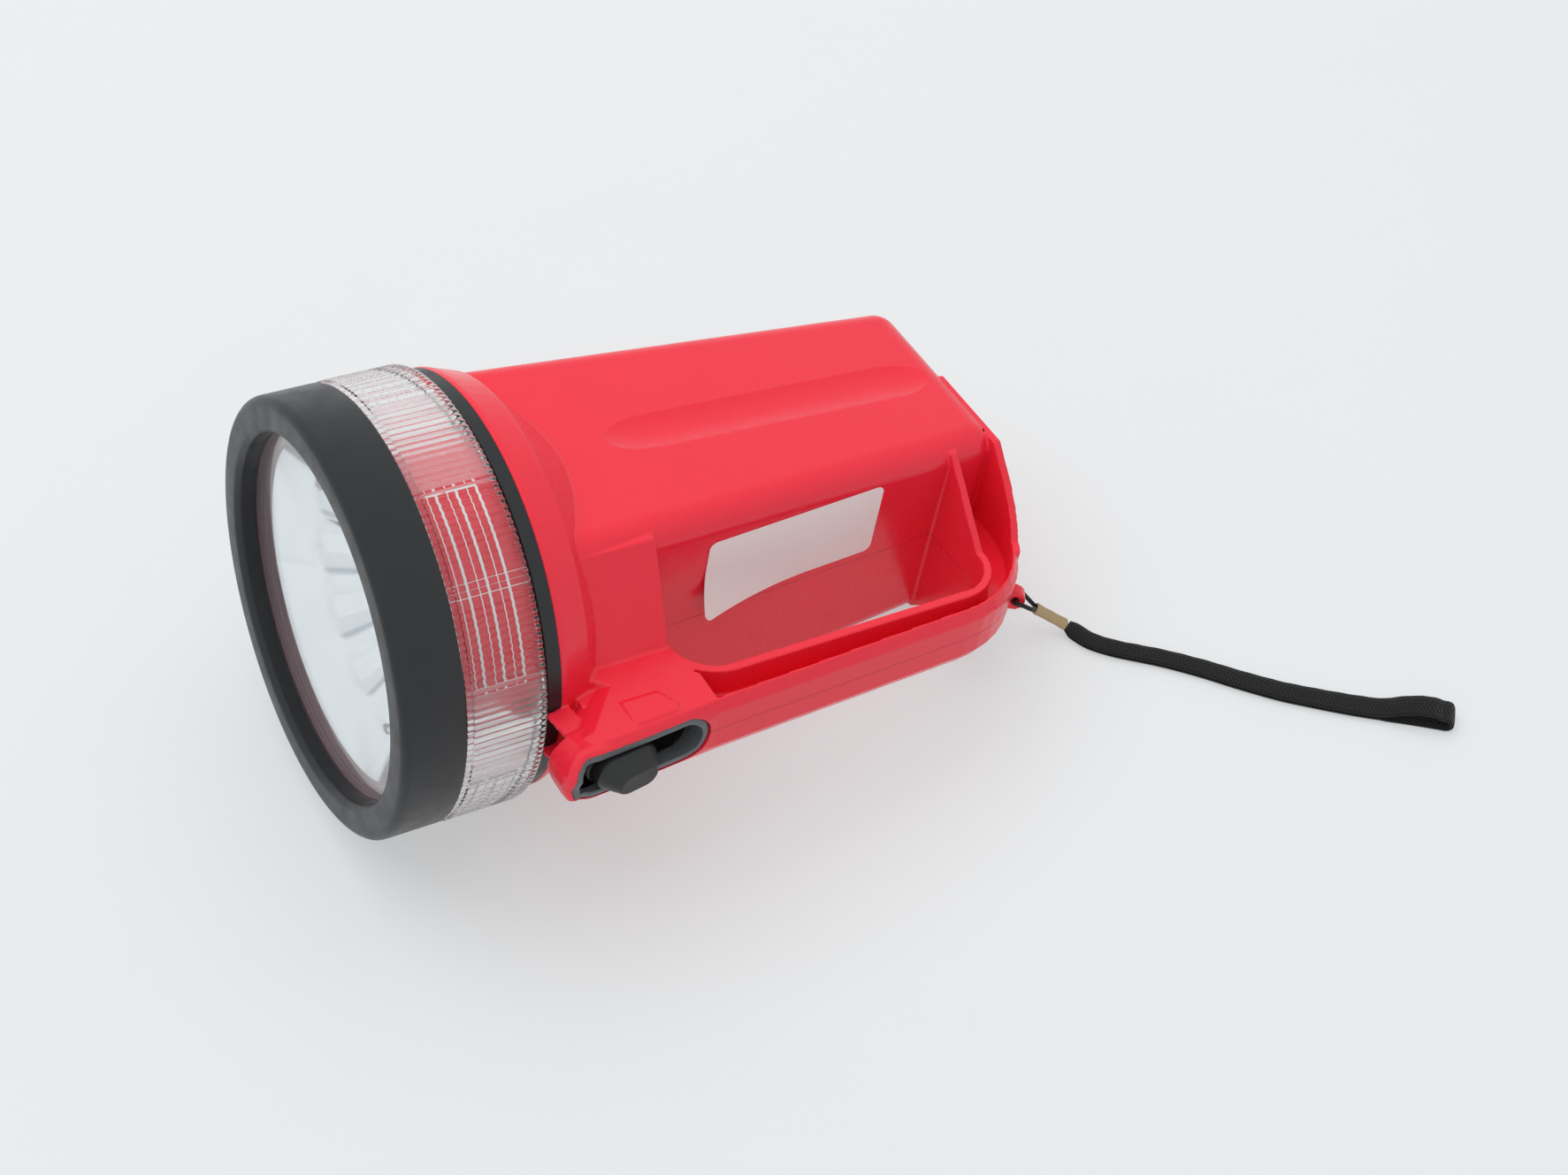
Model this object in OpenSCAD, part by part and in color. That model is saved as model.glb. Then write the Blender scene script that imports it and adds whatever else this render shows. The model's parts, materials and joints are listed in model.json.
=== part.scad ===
// Hand lantern for four D cells: a moulded case with a loop handle, a clear screw-on lens cup
// with a rubber bezel, a sliding switch at the front of the grip and a wrist strap.
// The lantern lies on its side: it is modelled along its light axis (x runs back from the
// bezel, the grip is on the -y side, z is the upper flank) and then laid down on the floor.

/* [Head] */
// Outer radius of the threaded neck
neck_r = 53.8; // [52:0.1:56]
// Wall of the neck
neck_wall = 3.4; // [2.6:0.1:4]
// Wall of the lens cup inside the bezel
cup_wall = 2.7; // [2:0.1:3.5]
// Wall of the rubber bezel round the lens cup
bezel_wall = 3.1; // [2.4:0.1:4.5]
// Length of the bezel along the light axis
bezel_len = 17.5; // [14:0.5:22]
// Radius of the bezel's rounded front edge
bezel_edge = 2; // [1:0.25:3]
// Width of the lip in front of the lens
lip_w = 9.8; // [8.6:0.1:13]
// Thickness of the lip in front of the lens
lip_t = 5.2; // [3.5:0.1:6.5]
// Thickness of the lens
lens_t = 2.5; // [1.8:0.1:3]
// Length of the ribbed skirt behind the bezel
skirt_len = 21.9; // [18:0.1:26]
// Wall of the skirt under the ribs
skirt_wall = 5.5; // [4.5:0.1:5.8]
// Number of ribs round the skirt
rib_count = 180; // [120:4:216]
// Height of the ribs
rib_h = 0.6; // [0.3:0.1:0.9]
// Plain lip in front of the ribs
skirt_lip = 1.6; // [1:0.1:3]
// Thickness of the neck gasket
gasket_t = 4.7; // [3.5:0.1:6]
// Height of the gasket and the flange above the neck
gasket_h = 4.2; // [3:0.1:5]

/* [Case] */
// Drop from the flange's front edge to its ridge
ridge_drop = 2.7; // [1.5:0.1:4]
// Length of the flange from the gasket to the ridge
flange_len = 9.4; // [8:0.1:12]
// Length of the sloped shoulder behind the ridge
shoulder_len = 17; // [14:0.5:20]
// Radius at the small end of the shoulder
shoulder_r = 36; // [34:0.5:38]
// Length of the case behind the ridge
case_len = 140.8; // [132:0.2:150]
// Half width of the case at the ridge
case_front = 39.8; // [39.2:0.1:41]
// Half width of the case at the rear
case_rear = 31.8; // [30.5:0.1:33.5]
// Radius of the case's edges
case_edge = 7.5; // [6:0.25:9]
// Distance of the case's centre line from the light axis, away from the grip
case_shift = 1.5; // [0:0.1:3]
// Wall of the case
case_wall = 2.2; // [1.8:0.1:2.5]
// Length of the long flank groove
groove_len = 106; // [80:1:110]
// Width of the flank groove
groove_w = 13; // [9:0.5:15]
// Depth of the flank groove
groove_depth = 1.3; // [0.6:0.1:1.6]
// Wall left under the flank groove
groove_wall = 1.6; // [1.2:0.1:1.8]

/* [Grip] */
// Distance of the grip's outer face from the light axis at the front of the hand hole
grip_out = 74.2; // [72.5:0.1:78]
// Fall of the outer face towards the rear, in degrees
grip_fall = 2.3; // [0:0.1:4]
// Half width of the grip
grip_half = 10; // [9:0.1:11]
// Crown of the outer face
grip_crown = 1.7; // [0.5:0.1:2]
// Distance of the hand hole's outer edge from the light axis
hole_out = 62.4; // [60:0.1:63.5]
// Distance of the hand hole from the flange's ridge
hole_start = 25.1; // [24:0.1:28]
// Length of the hand hole
hole_len = 98; // [92:0.5:99]
// Radius of the hand hole's front corner
hole_front_r = 13; // [9:0.5:16]
// Radius of the hand hole's rear corner
hole_rear_r = 11; // [8:0.5:14]
// Thickness of the grip's inner and outer flanges
flange_t = 2.4; // [2:0.1:3]
// Thickness of the web between the flanges
web_t = 3; // [2.4:0.1:4]
// Outer radius of the rear corner
rear_r = 32; // [26:0.5:34]
// Distance from the light axis at which the gussets reach the grip's width
gusset_out = 51; // [48:0.5:53]

/* [Switch] */
// Fall of the switch face towards the rear, in degrees
switch_fall = 8.9; // [6:0.1:10]
// Reach of the switch housing's nose in front of the flange
nose_reach = 9.2; // [6:0.1:10]
// Fall of the switch face from its middle to its sides, at the nose
nose_crown = 6; // [3:0.1:6.9]
// Length over which the nose rounds to the housing's sides
nose_back = 12; // [6:0.5:14]
// Depth of the switch pocket under the face
pocket_deep = 14; // [12:0.5:15]
// Length of the oval switch surround
oval_len = 41.8; // [40:0.2:42.4]
// Width of the oval switch surround
oval_w = 15.2; // [14.8:0.1:15.8]
// Length of the opening in the surround
slot_len = 34; // [33:0.5:35]
// Width of the opening in the surround
slot_w = 11; // [10.5:0.1:11.5]
// Length of the knob's top
knob_len = 12.2; // [10:0.1:13]
// Width of the knob's top
knob_w = 7; // [5:0.1:8]
// Spread of the knob's foot beyond its top, at each end
knob_spread = 3.1; // [1:0.1:3.6]
// Height of the knob above the face
knob_h = 3.9; // [3:0.1:5]
// Length of the knob's skirt under the surround
knob_skirt = 20; // [19.6:0.2:21]
// Travel of the knob
knob_travel = 8; // [5:0.5:9]

/* [Lamp and power] */
// Width of the reflector's rim outside its bowl
rim_w = 5.8; // [5:0.1:9]
// Depth of the reflector
reflector_depth = 27; // [24:0.5:28]
// Radius of the bulb's glass
bulb_r = 5.5; // [4.5:0.1:6]
// Length of the bulb's glass
bulb_len = 15; // [12:0.5:17]
// Radius of a cell
cell_r = 16.5; // [15.8:0.1:16.6]
// Length of a cell
cell_len = 61.5; // [60:0.1:61.5]
// Room for the rear springs
spring_room = 7; // [5:0.25:9]
// Thickness of the contact boards
board_t = 2; // [1.5:0.1:2.5]

/* [Strap] */
// Radius of the strap's cord
cord_r = 0.7; // [0.5:0.05:0.8]
// Radius of the ferrule
ferrule_r = 1.8; // [1.6:0.05:2]
// Width of the strap's band
band_w = 6.6; // [5:0.2:8]
// Thickness of the folded band
band_t = 2.6; // [2:0.1:3.2]

/* [Hidden] */
$fn = 96;

// Clearances: seats that touch, pieces that slide or turn, and overlaps of cutting tools
seat = 0.1;
run = 0.3;
cut = 1;

// Stations along the light axis, from the bezel back
lens_x0 = lip_t;
lens_x1 = lens_x0 + lens_t;
skirt_x1 = bezel_len + skirt_len;
gasket_x0 = skirt_x1 + run / 2;
flange_x0 = gasket_x0 + gasket_t;
ridge_x = flange_x0 + flange_len;
case_x1 = ridge_x + case_len;

// Head: everything is built outwards and inwards from the neck
neck_in = neck_r - neck_wall;
cup_in = neck_r + run;
cup_front_r = cup_in + cup_wall;
bezel_r = cup_front_r + seat + bezel_wall;
opening_r = bezel_r - lip_w;
skirt_r = cup_in + skirt_wall;
rib_r = skirt_r + rib_h;
gasket_r = neck_r + gasket_h;
gasket_edge = 1;
flange_edge = 1.5;
ridge_r = gasket_r - ridge_drop;
lip_edge = 1.2;
bezel_rear_edge = 0.8;
cup_overlap = 0.8;

// Reflector's rim and the seal in front of it, both inside the neck's radius
reflector_r = neck_r - rim_w;
seal_t = 1.4;
seal_in = reflector_r + 1;
seal_out = neck_r - 0.6;
rim_t = 1.2;
rim_out = neck_r - 0.4;
rim_x0 = lens_x1 + seat + seal_t + seat;
rim_x1 = rim_x0 + rim_t;
neck_x0 = rim_x1 + run;

// Lamp: bowl with a hub, bulb on the hub's ledge, holder behind it
bowl_x1 = rim_x0 + reflector_depth;
bowl_wall = 1.4;
bowl_steps = 12;
hub_r = 8.4;
hub_wall = 1.2;
hub_floor = 2;
hub_x1 = bowl_x1 + 8;
holder_flange = 1.4;
holder_t = 1.2;
bulb_flange_r = 6.4;
bulb_flange_t = 1.2;
bulb_sleeve_r = 4.4;
bulb_neck_r = 4.2;
bulb_neck_len = 2;
bulb_wall = 0.6;
bulb_tip_r = 2.2;
bulb_tip_t = 0.8;
bulb_tip_x = hub_x1 + 1.8;
bulb_x = bowl_x1 - seat - bulb_flange_t;

// Front contact board on a ledge inside the neck, cells behind it
board_x0 = flange_x0 + 3.4;
board_x1 = board_x0 + board_t;
strip_t = 0.5;
cell_x0 = board_x1 + strip_t + seat;
cell_x1 = cell_x0 + cell_len;
cell_gap = 0.3;
cell_off = cell_r + cell_gap / 2;
cell_reach = norm([case_shift + cell_off, cell_off]) + cell_r;
ledge_t = 4;
ledge_r = cell_reach + 0.9;
ledge_x1 = board_x1 + ledge_t;
rear_strip_x = cell_x1 + spring_room;
rear_board_x0 = rear_strip_x + strip_t;
rear_board_x1 = rear_board_x0 + board_t;

// Screws of the front board, in bosses that stand on the neck's wall
screw_r = 1.3;
screw_head_r = 2.6;
screw_head_t = 1.5;
screw_turn = 20;
screw_boss_r = 4;
screw_off = neck_in - screw_boss_r - 0.2;
screw_x1 = ledge_x1 - 1;

// Half width of the tapered case at station x
function half_at(x) = case_front - (case_front - case_rear) * (x - ridge_x) / case_len;

// Grip: outer line, rear corner and hand hole in the side view (x, distance from light axis)
hole_x0 = ridge_x + hole_start;
hole_x1 = hole_x0 + hole_len;
rear_x = case_x1 - 0.7;
corner_x = rear_x - rear_r;
function grip_line(x) = grip_out - tan(grip_fall) * (x - hole_x0);
corner_v = grip_line(corner_x) - rear_r / cos(grip_fall);
grip_x0 = hole_x0 - 6;
channel_x0 = hole_x0 + 1.5;
gusset_in = 2;
gusset_over = 4;
groove_x0 = hole_x0 + 2.4;

// Switch face: it starts at the hand hole's front and rises forward to the nose
nose_x = flange_x0 - nose_reach;
nose_r = 4;
nose_h = 11;
nose_set = 0.3;
crown_shares = [0.3, 0.55, 0.8, 1];
housing_x1 = hole_x0 + 3;
housing_root = [ridge_x + 16, gusset_out - 3];
housing_front = [flange_x0 + 0.6, gasket_r + 0.8];
switch_x = (nose_x + hole_x0) / 2 + 1.9;
function face_line(x) = grip_out - tan(switch_fall) * (x - hole_x0);
pad_corners = [[-21.3, 1.9], [-10.8, 1.9], [-7.5, 7.8], [-8.7, 9.6], [-21.4, 10.4]];
pad_h = 0.7;

// Switch: surround, pocket under it, base plate with contacts, knob that slides between them
surround_t = 5;
surround_set = 0.9;
surround_rim = 1.2;
pocket_len = knob_skirt + 2 * knob_travel;
pocket_w = slot_w + 2;
base_t = 2;
base_top = base_t - pocket_deep;
contact_w = 3.2;
slider_len = 6;
contact_len = slider_len + 2 * knob_travel;
knob_foot = knob_len + 2 * knob_spread;
knob_root = 1.5;
knob_edge = 0.8;
knob_front_gap = 3.4;
knob_rest = -slot_len / 2 + knob_front_gap + knob_foot / 2;

// Lead strips from the ledge to the switch, in a slot with room on all sides
lead_off = 3.4;
lead_w = 3.6;
lead_x = board_x1 + 1.6;
lead_y0 = ledge_r - 1;
lead_y1 = face_line(switch_x) - pocket_deep - 0.6;
lead_room = 0.7;
lead_wall = 1.4;

// Laid down: the skirt's rear edge and the case's rear edge both touch the floor
lean_x = case_x1 - case_edge - skirt_x1;
lean_z = rib_r - (case_rear - case_edge);
lean_l = norm([lean_x, lean_z]);
tilt = atan2(lean_z, lean_x) - asin(case_edge / lean_l);
lift = skirt_x1 * sin(tilt) + rib_r * cos(tilt);
low_x = bezel_edge * cos(tilt) - (bezel_r - bezel_edge) * sin(tilt) - bezel_edge;
high_x = (case_x1 - case_edge) * cos(tilt) + (case_rear - case_edge) * sin(tilt) + case_edge;
mid_x = (low_x + high_x) / 2;
grip_reach = face_line(switch_x + knob_rest) + knob_h / cos(switch_fall);
mid_y = (max(bezel_r, rib_r) - grip_reach) / 2;

// Lug with an eye at the rear corner of the grip
lug_angle = 32;
lug_r = 3.4;
lug_t = 4;
lug_z = -6.5;
lug_out = 1.4;
eye_r = 1.3;
eye_out = 1.9;

// Strap: routes on the floor, chosen by hand, in the frame of the part that lies down
ferrule_a = [104, -42.5, 9.5];
ferrule_b = [111.5, -48, 3.2];
cord_near = [[103.4, -41.3, 11.2], [101.2, -40.4, 15], [98.8, -40.9, 19.4], [96.6, -42.4, 22.8]];
cord_eye = [2.6, 0, -2.6];
cord_far = [
    [94, -50, 24], [96.2, -50.4, 21.8], [99, -48.4, 17.8], [101.7, -45.3, 13.2], [103, -43.3, 10.6]
];
cord_gap = 0.3;
cord_lead = 1.2;
band_route = [
    [111.9, -48.3, 2.9], [113.4, -51.4, 1.7], [115.4, -56, 1.4], [119.5, -61.4, 1.4], [124, -66, 1.4],
    [129, -71, 1.4], [134, -76.6, 1.4], [138.6, -82.2, 1.4], [143, -88, 1.4], [147.5, -93.6, 1.4],
    [152, -98.9, 1.4], [157, -104, 1.4], [162, -108.9, 1.4], [167, -113.6, 1.4], [172, -118, 1.5],
    [176.6, -121.8, 1.9], [180.8, -125.4, 2.5], [184, -128.2, 2.8], [186, -130, 2.4]
];
band_start = [1.4, 2.5];
band_end = [1.5, 1.9, 2.5, 2.7, 1.2];

// Colours
red = [0.84, 0.13, 0.17];
black = [0.09, 0.09, 0.1];
dark_grey = [0.28, 0.28, 0.29];
brass = [0.78, 0.66, 0.36];
steel = [0.72, 0.73, 0.74];
board_brown = [0.42, 0.27, 0.15];
clear = [0.92, 0.95, 0.96, 0.35];

// Moves a solid from the light axis to the floor
module laid() {
    translate([-mid_x, -mid_y, lift]) rotate([0, tilt, 0]) children();
}

// Revolves a profile of [radius, station] points round the light axis
module turned(profile) {
    rotate([0, 90, 0]) rotate_extrude() polygon(profile);
}

// Cylinder along the light axis
module rod(r, x0, x1) {
    translate([x0, 0, 0]) rotate([0, 90, 0]) cylinder(r = r, h = x1 - x0);
}

// Extrudes a side view of [station, distance from light axis] points to both sides
module side_plate(points, half) {
    translate([0, 0, -half]) linear_extrude(2 * half) mirror([0, 1]) polygon(points);
}

// Places a solid on the switch face: x along the face, z out of it
module on_switch() {
    translate([switch_x, -face_line(switch_x), 0]) rotate([0, 0, switch_fall]) rotate([90, 0, 0])
        children();
}

// Upright plate with round ends, centred on x
module oval(len, w, z0, z1) {
    for (side = [-1, 1]) translate([side * (len - w) / 2, 0, z0]) cylinder(d = w, h = z1 - z0);
    translate([-(len - w) / 2, -w / 2, z0]) cube([len - w, w, z1 - z0]);
}

// Points of an arc, as [x, y]
function arc(cx, cy, r, a0, a1, n = 10) =
    [for (i = [0 : n]) let (a = a0 + (a1 - a0) * i / n) [cx + r * cos(a), cy + r * sin(a)]];

// Unit vector
function unit(v) = v / norm(v);

// Direction of a route at point i
function along(p, i) = unit(p[min(i + 1, len(p) - 1)] - p[max(i - 1, 0)]);

// Ring of points round point i of a route: half width a across, half height b along the normal
function ring(p, i, n, a, b, sides) =
    let (t = along(p, i), s = unit(cross(t, n)), u = cross(s, t))
    [for (k = [0 : sides - 1]) let (q = 360 * (k + 0.5) / sides)
        p[i] + a * cos(q) * s + b * sin(q) * u];

// Solid swept along a route; normals, half widths and half heights are given for each point
module swept(p, normals, a, b, sides) {
    last = len(p) - 1;
    points = [for (i = [0 : last]) each ring(p, i, normals[i], a[i], b[i], sides)];
    skin = [
        for (i = [0 : last - 1]) for (k = [0 : sides - 1])
            let (k2 = (k + 1) % sides, c0 = i * sides, c1 = c0 + sides)
            each [[c0 + k, c1 + k2, c0 + k2], [c0 + k, c1 + k, c1 + k2]]
    ];
    head = [for (k = [1 : sides - 2]) [0, k, k + 1]];
    tail = [for (k = [1 : sides - 2]) [for (j = [0, k + 1, k]) last * sides + j]];
    polyhedron(points, concat(skin, head, tail));
}

// Coil spring along the light axis that narrows from radius r0 to r1
module coil(x0, x1, r0, r1, wire, turns) {
    per_turn = 12;
    steps = turns * per_turn;
    route = [for (i = [0 : steps]) let (a = 360 * i / per_turn, f = i / steps, r = r0 + (r1 - r0) * f)
        [x0 + wire + (x1 - x0 - 2 * wire) * f, r * cos(a), r * sin(a)]];
    normals = [for (p = route) [0, p[1], p[2]]];
    size = [for (p = route) wire];
    swept(route, normals, size, size, 6);
}

// Outside of the tapered case, with rounded edges and rear corners
module case_form() {
    hull() for (y = [-1, 1]) for (z = [-1, 1]) {
        translate([ridge_x, case_shift + y * (case_front - case_edge), z * (case_front - case_edge)])
            rotate([0, 90, 0]) cylinder(r = case_edge, h = 0.5, $fn = 32);
        translate([case_x1 - case_edge, case_shift, 0])
            translate([0, y * (case_rear - case_edge), z * (case_rear - case_edge)])
                sphere(r = case_edge, $fn = 32);
    }
}

// Outline of a square with rounded corners
function round_square(half, r) = [for (q = [0 : 3]) each
    arc((half - r) * [1, -1, -1, 1][q], (half - r) * [1, 1, -1, -1][q], r, 90 * q, 90 * q + 90, 6)];

// Tapered space inside the case's walls, from station x0 to the rear wall
module case_space(x0) {
    x1 = case_x1 - case_wall;
    front = half_at(x0) - case_wall;
    rear = half_at(x1) - case_wall;
    translate([x0, case_shift, 0]) rotate([90, 0, 90])
        linear_extrude(x1 - x0, scale = rear / front) polygon(round_square(front, case_edge - case_wall));
}

// Side view of the grip's outer outline, set in by d
function grip_outline(d) = concat(
    [[ridge_x + d, 0], [ridge_x + d, ridge_r], [grip_x0, grip_line(grip_x0) - d]],
    arc(corner_x, corner_v, rear_r - d, 90 - grip_fall, 0),
    [[rear_x - d, 0]]);

// Side view of the hand hole, widened by d
function hole_outline(d) = concat(
    [[hole_x0 - d, 0]],
    arc(hole_x0 + hole_front_r, hole_out - hole_front_r, hole_front_r + d, 180, 90),
    arc(hole_x1 - hole_rear_r, hole_out - hole_rear_r, hole_rear_r + d, 90, 0),
    [[hole_x1 + d, 0]]);

// Cross-section of a gusset that spreads from the grip to the case at station x
module gusset(x, x0, x1) {
    wide = half_at(x) - gusset_in;
    root = half_at(x) - case_shift;
    top = gusset_out + gusset_over;
    outline = [[0, -wide], [root, -wide], [gusset_out, -grip_half], [top, -grip_half],
        [top, grip_half], [gusset_out, grip_half], [root, wide], [0, wide]];
    translate([x0, 0, 0]) rotate([90, 0, 90]) linear_extrude(x1 - x0) mirror([1, 0]) polygon(outline);
}

// Loop of the grip: crowned bar, gussets to the case, channels on both sides of a web
module grip_loop() {
    difference() {
        union() {
            hull() {
                side_plate(grip_outline(0), grip_half - 2 * grip_crown);
                side_plate(grip_outline(grip_crown), grip_half);
            }
            intersection() {
                side_plate(grip_outline(0), case_front);
                union() {
                    gusset(hole_x0, ridge_x, hole_x0 + hole_front_r);
                    gusset(rear_x, hole_x1 - hole_rear_r, rear_x);
                }
            }
        }
        side_plate(hole_outline(0), case_front + cut);
        for (side = [-1, 1]) translate([0, 0, side * (case_front + web_t) / 2])
            grip_channel(case_front / 2);
    }
}

// Channel between the inner and outer flanges of the grip
module grip_channel(half) {
    difference() {
        side_plate(grip_outline(flange_t), half);
        side_plate(hole_outline(flange_t), half + cut);
        translate([0, -2 * grip_out, -half - cut]) cube([channel_x0, 2 * grip_out, 2 * (half + cut)]);
    }
}

// Side view of the switch housing at a share of its half width, with its face set in by depth
function housing_outline(share, depth) = let (
        back = nose_back * share * share,
        drop = nose_crown * share * share + depth,
        rear_drop = max(0, grip_crown - grip_half * (1 - share) / 2) + depth) concat(
    [housing_root, housing_front + [back, 0], [nose_x + back, face_line(nose_x) - nose_h]],
    arc(nose_x + nose_r + back, face_line(nose_x + nose_r) - nose_r - nose_set - drop, nose_r, 180,
        90 - switch_fall, 6),
    [[housing_x1, grip_line(housing_x1) - rear_drop], [housing_x1, hole_out]]);

// Form under the switch face, which is round at the nose and flatter towards the grip
module switch_face(depth) {
    hull() for (share = crown_shares) side_plate(housing_outline(share, depth), share * grip_half);
}

// Housing of the switch with a raised pad on each side
module switch_housing() {
    switch_face(0);
    for (side = [-1, 1]) switch_pad(side);
}

// Raised pad on a side of the switch housing
module switch_pad(side) {
    pad = [for (p = pad_corners) [hole_x0, hole_out] + p];
    translate([0, 0, side * grip_half]) side_plate(pad, pad_h);
}

// Long shallow groove on a flank, with its bottom parallel to the flank; wall makes it that much deeper
module flank_groove(side, wall = 0) {
    lean = atan((case_front - case_rear) / case_len);
    r = (groove_w * groove_w / 4 + groove_depth * groove_depth) / (2 * groove_depth);
    translate([groove_x0, 0, side * half_at(groove_x0)]) rotate([0, side * lean, 0])
        translate([0, 0, side * (r - groove_depth)]) {
            translate([groove_w, 0, 0]) rotate([0, 90, 0])
                cylinder(r = r + wall, h = groove_len - 2 * groove_w);
            for (x = [groove_w, groove_len - groove_w]) translate([x, 0, 0]) sphere(r = r + wall);
        }
}

// Lug with an eye at the rear corner of the grip, on the lower side
module at_lug(extra) {
    translate([corner_x, -corner_v, lug_z]) rotate([0, 0, -lug_angle]) translate([rear_r + extra, 0, 0])
        rotate([90, 0, 0]) children();
}

// One-piece moulded case with flange, neck, grip and switch housing
module body_shell() {
    color(red) laid() difference() {
        union() {
            case_form();
            turned([[0, neck_x0], [neck_r, neck_x0], [neck_r, flange_x0], [gasket_r, flange_x0],
                [gasket_r, flange_x0 + flange_edge], [ridge_r, ridge_x], [shoulder_r, ridge_x + shoulder_len],
                [0, ridge_x + shoulder_len]]);
            grip_loop();
            switch_housing();
            lead_throat();
            at_lug(lug_out) translate([0, 0, -lug_t / 2]) cylinder(r = lug_r, h = lug_t);
        }
        case_hollow();
        rod(neck_in, neck_x0 - cut, board_x1);
        ledge_bore();
        at_screws() rod(screw_r + seat, board_x1 - cut, screw_x1 + run);
        on_switch() {
            oval(oval_len + 2 * seat, oval_w + 2 * seat, -surround_t - seat, pocket_deep);
            oval(pocket_len, pocket_w, -pocket_deep, 0);
        }
        lead_slot();
        for (side = [-1, 1]) flank_groove(side);
        at_lug(eye_out) translate([0, 0, -lug_t]) cylinder(r = eye_r, h = 2 * lug_t, $fn = 32);
    }
}

// Hollow of the case, with four posts that carry the rear contact board and a wall under each groove
module case_hollow() {
    post_r = 4;
    post_off = case_rear - case_wall - post_r - 1;
    difference() {
        case_space(ledge_x1);
        translate([0, case_shift, 0]) for (y = [-1, 1]) for (z = [-1, 1])
            translate([0, y * post_off, z * post_off]) rod(post_r, rear_board_x1 + seat, case_x1);
        for (side = [-1, 1]) flank_groove(side, groove_wall);
    }
}

// Bore of the ledge behind the front contact board, with the screw bosses left standing
module ledge_bore() {
    difference() {
        rod(ledge_r, neck_x0 - cut, ledge_x1 + cut);
        at_screws() rod(screw_boss_r, board_x1, ledge_x1 + 2 * cut);
    }
}

// Places a solid at the four screws of the front contact board
module at_screws() {
    for (a = [0 : 90 : 270]) rotate([a + screw_turn, 0, 0]) translate([0, 0, screw_off]) children();
}

// Fillet block between the flange and the switch housing, with a wall round the slot of the leads
module lead_throat() {
    x0 = lead_x - lead_room - lead_wall;
    x1 = lead_x + strip_t + lead_room + lead_wall;
    v0 = ridge_r - flange_edge - lead_wall;
    v1 = hole_out - 2 * lead_wall;
    side_plate([[x0, v0], [x0, v1], [x1, v1], [x1, v0]], lead_off + lead_w / 2 + lead_room + lead_wall);
}

// Slot for the two lead strips from the ledge to the switch
module lead_slot() {
    half = lead_off + lead_w / 2 + lead_room;
    y1 = lead_y1 + 2 * lead_room;
    translate([lead_x - lead_room, -y1, -half])
        cube([strip_t + 2 * lead_room, y1 - lead_y0 + lead_room, 2 * half]);
}

// Rubber ring between the lens cup and the flange
module neck_gasket() {
    color(black) laid() turned([[neck_r + seat, gasket_x0], [gasket_r - gasket_edge, gasket_x0],
        [gasket_r, gasket_x0 + gasket_edge], [gasket_r, flange_x0], [neck_r + seat, flange_x0]]);
}

// Oval surround that follows the switch face a little under it, with a stepped opening
module switch_bezel() {
    step = surround_set + surround_rim;
    color(dark_grey) laid() difference() {
        intersection() {
            switch_face(surround_set);
            on_switch() oval(oval_len, oval_w, -surround_t, pocket_deep);
        }
        on_switch() {
            oval(slot_len, slot_w, -surround_t - cut, pocket_deep);
            oval(slot_len + 2 * surround_rim, slot_w + 2 * surround_rim, -step, pocket_deep);
        }
    }
}

// Insulating plate at the bottom of the switch pocket
module switch_base() {
    color(board_brown) laid() on_switch()
        oval(pocket_len - 2 * seat, pocket_w - 2 * seat, seat - pocket_deep, base_top);
}

// Two fixed contacts on the switch base
module switch_contacts() {
    color(brass) laid() on_switch() for (side = [-1, 1])
        translate([-contact_len / 2, side * lead_off - contact_w / 2, base_top])
            cube([contact_len, contact_w, strip_t]);
}

// Two strips that lead from the front contact board to the switch
module lead_strips() {
    color(brass) laid() for (side = [-1, 1]) translate([0, 0, side * lead_off - lead_w / 2]) {
        translate([lead_x, -lead_y1, 0]) cube([strip_t, lead_y1 - lead_y0, lead_w]);
        translate([board_x1, -lead_y0 - strip_t, 0]) cube([lead_x + strip_t - board_x1, strip_t, lead_w]);
    }
}

// Round board that carries the front contacts
module front_contact_board() {
    color(board_brown) laid() difference() {
        rod(neck_in - run, board_x0, board_x1);
        at_screws() rod(screw_r + run, board_x0 - cut, board_x1 + cut);
    }
}

// Screws of the front contact board
module board_screws() {
    head_x = board_x0 - screw_head_t;
    color(steel) laid() at_screws() turned([[0, head_x], [screw_head_r - screw_head_t / 2, head_x],
        [screw_head_r, head_x + screw_head_t / 2], [screw_head_r, board_x0], [screw_r, board_x0],
        [screw_r, screw_x1], [0, screw_x1]]);
}

// Contact strips on the back of the front board: one bridge and two end pads
module front_bridge_strips() {
    pad = 12;
    color(brass) laid() translate([board_x1, case_shift, 0]) {
        translate([0, -cell_off - pad / 2, cell_off - pad / 2]) cube([strip_t, 2 * cell_off + pad, pad]);
        for (y = [-1, 1]) translate([0, y * cell_off - pad / 2, -cell_off - pad / 2])
            cube([strip_t, pad, pad]);
    }
}

// Small spring that touches the bulb's tip
module lamp_spring() {
    wire = 0.3;
    color(steel) laid() coil(bulb_tip_x + seat, board_x0, bulb_tip_r - wire, bulb_tip_r + 1, wire, 2);
}

// One cell with its terminal to the front or to the rear
module cell(y, z, forward) {
    nub = 2;
    nub_r = 4.75;
    bead = 0.8;
    flip = forward ? 0 : 1;
    color([0.16, 0.2, 0.34]) laid() translate([0, case_shift + y * cell_off, z * cell_off])
        translate([flip * (cell_x0 + cell_x1), 0, 0]) mirror([flip, 0, 0])
            turned([[0, cell_x0], [nub_r, cell_x0], [nub_r, cell_x0 + nub], [cell_r - bead, cell_x0 + nub],
                [cell_r, cell_x0 + nub + bead], [cell_r, cell_x1 - bead], [cell_r - bead, cell_x1],
                [0, cell_x1]]);
}

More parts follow.
